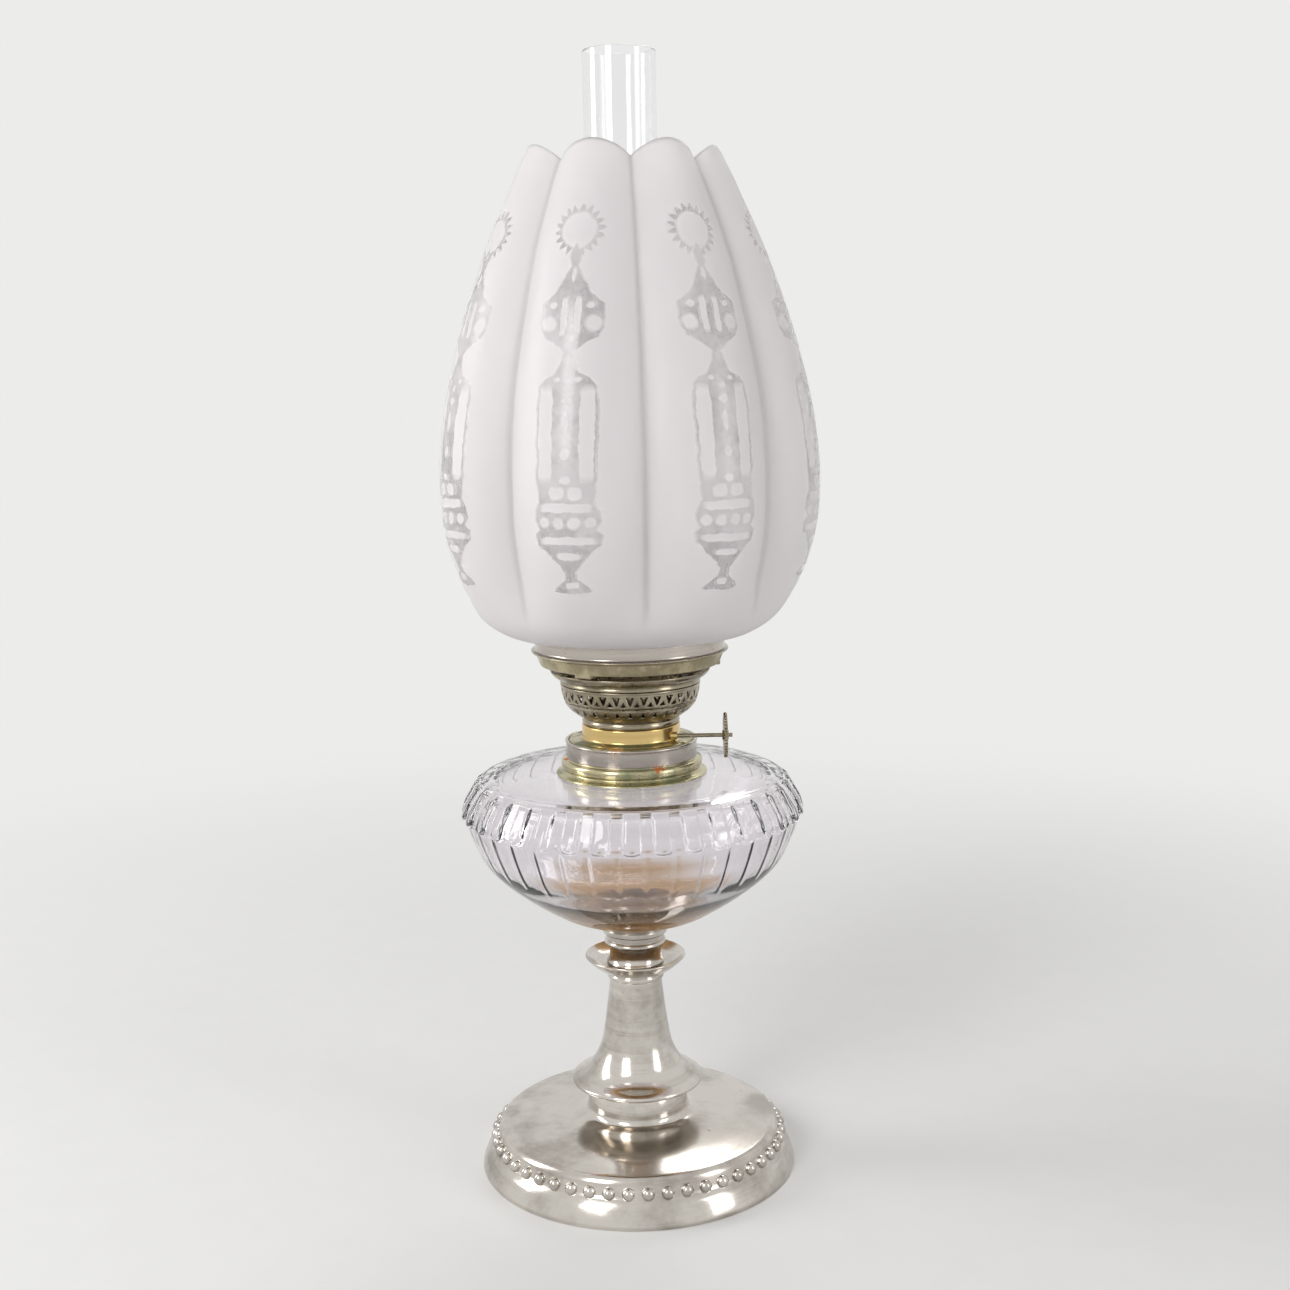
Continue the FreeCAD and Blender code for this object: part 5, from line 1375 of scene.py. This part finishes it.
    def lobed(self, profile: np.ndarray, turn: np.ndarray, wall: float) -> tuple[np.ndarray, np.ndarray]:
        """Radius and height of the lobed surface.

        A lobe's back is a circle of radius L round a centre line at d = crest - L from the axis, so in a
        direction turned by t from the crest it is at d cos t + sqrt(L^2 - d^2 sin^2 t). L falls towards the
        rim, the lobes fade into the round bowl below, and the rim falls between them with the square of t.

        Args:
            profile: crest profile in millimetres, on the outside.
            turn: angle of each column from its lobe's crest.
            wall: how far inside the outer surface.

        Returns:
            Radius and height, rows by columns.
        """
        crest, height = profile[:, :1], profile[:, 1:]
        up = np.clip((height - self.lobe_taper) / (self.rim_height - self.lobe_taper), 0, 1)
        lobe = self.lobe_radius + (self.lobe_radius_top - self.lobe_radius) * up
        middle = np.maximum(crest - lobe, 0)
        reach = middle * np.cos(turn) + np.sqrt((lobe - wall) ** 2 - (middle * np.sin(turn)) ** 2)
        fade = np.clip((height - self.bowl_height) / self.bowl_fade, 0, 1)
        fade = fade * fade * (3 - 2 * fade)
        moved = inward(profile, wall) if wall else profile
        radius = moved[:, :1] - fade * (crest - wall - reach)
        drop = self.scallop * (turn * self.lobes / math.pi) ** 2
        near_rim = np.clip((height - self.scallop_start) / (self.rim_height - self.scallop_start), 0, 1)
        return radius, moved[:, 1:] - drop * near_rim ** self.scallop_power

    def chart_lobes(self, mesh: bpy.types.Mesh, first: float) -> None:
        """Give the shade two maps that follow its lobes.

        The map "lobe" holds the angle from the nearest crest times the distance from the lamp's axis, and
        the map "bearing" holds the angle as a share of half a lobe. Both hold the height beside it. Lengths
        are in metres, and a face takes the lobe that its middle is on.

        Args:
            mesh: the shade's mesh.
            first: angle of the first lobe's crest.
        """
        half = math.pi / self.lobes
        spots = np.empty(len(mesh.vertices) * 3)
        mesh.vertices.foreach_get("co", spots)
        spots = spots.reshape(-1, 3)
        loops = np.empty(len(mesh.loops), int)
        mesh.loops.foreach_get("vertex_index", loops)
        size = np.array([len(face.vertices) for face in mesh.polygons])
        owner = np.repeat(np.arange(len(size)), size)
        centre = np.stack([np.bincount(owner, spots[loops, axis]) / size for axis in (0, 1)], 1)
        lobe = np.round((np.arctan2(centre[:, 1], centre[:, 0]) - first) / (2 * half))
        bearing = np.arctan2(spots[loops, 1], spots[loops, 0]) - first - lobe[owner] * 2 * half
        bearing = (bearing + math.pi) % TURN - math.pi
        across = bearing * np.hypot(spots[loops, 0], spots[loops, 1])
        for name, width in (("lobe", across), ("bearing", bearing / half)):
            chart = mesh.uv_layers.new(name=name)
            chart.data.foreach_set("uv", np.stack([width, spots[loops, 2]], 1).ravel())

    def shade(self) -> bpy.types.Object:
        """Make the shade as one closed wall: the lobed surface outside and the same a wall further in.

        Returns:
            The shade, with its maps.
        """
        part = np.array([-1, -0.975, -0.94, -0.88, -0.8, -0.68, -0.54, -0.4, -0.27, -0.13, 0,
                         0.13, 0.27, 0.4, 0.54, 0.68, 0.8, 0.88, 0.94, 0.975])
        half = math.pi / self.lobes
        turn = np.tile(part * half, self.lobes)
        first = math.radians(self.lobe_turn - 90)
        angle = turn + first + np.repeat(np.arange(self.lobes), len(part)) * 2 * half
        crest = self.crest()
        outer, outer_level = self.lobed(crest, turn, 0.0)
        inner, inner_level = self.lobed(crest, turn, self.shade_wall)
        # The straight foot keeps its full wall, and its edge is level.
        inner[:3] = outer[:3] - self.shade_wall
        inner_level[0] = outer_level[0]
        radius = np.concatenate([outer, inner[::-1]])
        level = np.concatenate([outer_level, inner_level[::-1]])
        points = np.stack([radius * np.cos(angle), radius * np.sin(angle), level], -1)
        thing = new_object("shade_lobed", points, grid_faces(len(radius), len(angle), True, True))
        self.chart_lobes(thing.data, first)
        return thing

    def build(self, clear: bpy.types.Material, satin: bpy.types.Material, metal: bpy.types.Material) -> None:
        """Make and dress the chimney, the ring and the shade.

        Args:
            clear: finish of the chimney.
            satin: finish of the shade.
            metal: finish of the ring and its arms.
        """
        dress(self.chimney(), Body.CHIMNEY, Slot.CLEAR_GLASS, clear, "chimney")
        dress(self.ring(), Body.SHADE_RING, Slot.BURNER_METAL, metal, "shade_ring")
        dress(self.bars(), Body.SHADE_RING, Slot.BURNER_METAL, metal)
        dress(self.shade(), Body.SHADE, Slot.FROSTED_GLASS, satin, "shade")


@dataclass(frozen=True)
class SoftBox:
    """One soft lamp: its name, its place and size in metres, and its power in watts."""

    name: str
    place: Axes
    size: Span
    power: float


@dataclass
class Studio:
    """Pale floor and surroundings, four soft lamps and the camera at the photograph's angle, in metres."""

    floor_reach: float = 12.0
    floor_lines: int = 41
    floor_dark: Colour = (0.86, 0.86, 0.85)
    floor_light: Colour = (0.89, 0.89, 0.88)
    floor_grain: Grain = Grain(40, 4, 0.5)
    fade_start: float = 0.30
    fade_end: float = 1.15
    room: float = 0.42
    room_light: Colour = (1.0, 0.99, 0.98)
    lamps: tuple[SoftBox, ...] = (
        SoftBox("key", (-0.75, -1.15, 0.95), (0.45, 0.8), 8.2),
        SoftBox("side", (-1.35, 0.05, 0.75), (0.35, 0.9), 6.5),
        SoftBox("fill", (1.2, -0.7, 0.6), (0.4, 0.8), 3.0),
        SoftBox("back", (0.3, 1.2, 1.3), (0.8, 0.5), 5.0),
    )
    middle: Axes = (0, 0, 0.3)
    place: Axes = (0.008165, -0.884842, 0.429502)
    pitch: float = 0.159043
    roll: float = 0.017105
    lens: float = 47.139
    sensor: float = 36.0
    nearest: float = 0.01

    def floor(self) -> None:
        """Lay a large pale floor that fades into the surroundings away from the lamp."""
        lines = self.floor_lines
        side = np.linspace(-1, 1, lines) * self.floor_reach / MM
        x, y = np.meshgrid(side, side)
        thing = new_object("floor", np.stack([x, y, 0 * x], -1), grid_faces(lines, lines, False, False))
        paint = Paint("pale_floor")
        far = paint.node("ShaderNodeVectorMath", {0: paint.place()}, operation="LENGTH")
        share = paint.step(Value(paint, far.outputs["Value"]), self.fade_start, self.fade_end)
        tone = paint.blend(paint.noise(self.floor_grain), rgba(self.floor_dark), rgba(self.floor_light))
        card = paint.shader(Base_Color=tone, Roughness=0.85, Specular_IOR_Level=0.2)
        glow = paint.node("ShaderNodeEmission", {0: PALE, 1: 1.0})
        thing.data.materials.append(paint.finish(paint.layer(share, card, Value(paint, glow.outputs[0]))))

    def surroundings(self) -> None:
        """Show a pale background to the camera, metal and glass, and light the rest softly."""
        world = bpy.data.worlds.new("room")
        bpy.context.scene.world = world
        world.use_nodes = True
        tree = world.node_tree
        tree.nodes.clear()
        path = tree.nodes.new("ShaderNodeLightPath")
        ground = tree.nodes.new("ShaderNodeBackground")
        ground.inputs[0].default_value = PALE
        ground.inputs[1].default_value = 1.0
        soft = tree.nodes.new("ShaderNodeBackground")
        soft.inputs[0].default_value = rgba(self.room_light)
        soft.inputs[1].default_value = self.room
        either = path.outputs["Is Camera Ray"]
        for name in ("Is Glossy Ray", "Is Transmission Ray"):
            top = tree.nodes.new("ShaderNodeMath")
            top.operation = "MAXIMUM"
            tree.links.new(either, top.inputs[0])
            tree.links.new(path.outputs[name], top.inputs[1])
            either = top.outputs[0]
        mix = tree.nodes.new("ShaderNodeMixShader")
        out = tree.nodes.new("ShaderNodeOutputWorld")
        tree.links.new(either, mix.inputs[0])
        tree.links.new(soft.outputs[0], mix.inputs[1])
        tree.links.new(ground.outputs[0], mix.inputs[2])
        tree.links.new(mix.outputs[0], out.inputs[0])

    def lamp(self, box: SoftBox) -> None:
        """Hang one soft box that faces the middle of the object.

        Args:
            box: its name, place, size and power.
        """
        light = bpy.data.lights.new(box.name, "AREA")
        light.shape = "RECTANGLE"
        light.size, light.size_y = box.size
        light.energy = box.power
        thing = bpy.data.objects.new(box.name, light)
        bpy.context.scene.collection.objects.link(thing)
        thing.location = box.place
        way = Vector(self.middle) - Vector(box.place)
        thing.rotation_euler = way.to_track_quat("-Z", "Y").to_euler()

    def camera(self) -> None:
        """Set the camera by the pitch and roll worked out for the photograph."""
        forward = Vector((0, math.cos(self.pitch), -math.sin(self.pitch)))
        up = Vector((0, math.sin(self.pitch), math.cos(self.pitch)))
        right = Vector((1, 0, 0))
        lean, still = math.sin(self.roll), math.cos(self.roll)
        axes = Matrix((right * still - up * lean, right * lean + up * still, -forward)).transposed()
        data = bpy.data.cameras.new("camera")
        data.lens = self.lens
        data.sensor_width = self.sensor
        data.clip_start = self.nearest
        thing = bpy.data.objects.new("camera", data)
        bpy.context.scene.collection.objects.link(thing)
        thing.matrix_world = Matrix.Translation(self.place) @ axes.to_4x4()
        bpy.context.scene.camera = thing

    def build(self) -> None:
        """Set up floor, surroundings, lamps and camera."""
        bpy.context.scene.view_settings.view_transform = "Standard"
        self.floor()
        self.surroundings()
        for box in self.lamps:
            self.lamp(box)
        self.camera()


def main() -> None:
    """Build the finishes, the sub-assemblies and the studio in order."""
    silver = SpunMetal(
        "silver_plate_worn", bright=(0.66, 0.62, 0.57), dull=(0.33, 0.30, 0.265), stain=(0.13, 0.11, 0.09),
        stain_share=0.35, rough=0.09, rough_dull=0.24).build()
    steel = SpunMetal(
        "steel_dull", bright=(0.42, 0.41, 0.39), dull=(0.24, 0.22, 0.20), stain=(0.22, 0.10, 0.04),
        stain_share=0.6, rough=0.25, rough_dull=0.42).build()
    bright = CollarMetal(
        "burner_wall_patina", plate=(0.78, 0.59, 0.27), plate_dull=(0.55, 0.38, 0.14),
        brass=(0.41, 0.36, 0.20), green=(0.17, 0.18, 0.10), rust=(0.42, 0.20, 0.05),
        band_low=0.2394, band_high=0.2480).build()
    metal = SpunMetal(
        "burner_plate_worn", bright=(0.36, 0.315, 0.235), dull=(0.175, 0.145, 0.09),
        stain=(0.40, 0.28, 0.10), stain_share=0.8, rough=0.15, rough_dull=0.34,
        patches=Grain(40, 6, 0.62)).build()
    aged = CollarMetal("collar_patina").build()
    ring = CollarMetal(
        "shade_ring_patina", plate=(0.62, 0.58, 0.52), brass=(0.47, 0.41, 0.27), green=(0.30, 0.255, 0.16),
        rust=(0.26, 0.20, 0.08), band_low=0.2866, band_high=0.2950).build()
    font_glass = ClearGlass(
        "font_glass_stained", tint=(0.89, 0.865, 0.89), stain=(0.72, 0.42, 0.14), stain_foot=0.140,
        stain_head=0.158, film=1.1).build()
    chimney_glass = ClearGlass(
        "chimney_glass_clear", tint=(0.955, 0.955, 0.965), stain=(0.93, 0.92, 0.90), stain_foot=0.2,
        stain_head=0.27, wave=0.00005, dust=0.05).build()
    satin = FrostedGlass("shade_glass_satin").build()
    cotton = Cotton("wick_cotton_woven").build()
    Studio().build()
    Foot().build(silver, steel)
    Font().build(font_glass, aged)
    Burner().build(bright, metal, cotton)
    Glassware().build(chimney_glass, satin, ring)


if __name__ == "__main__":
    main()
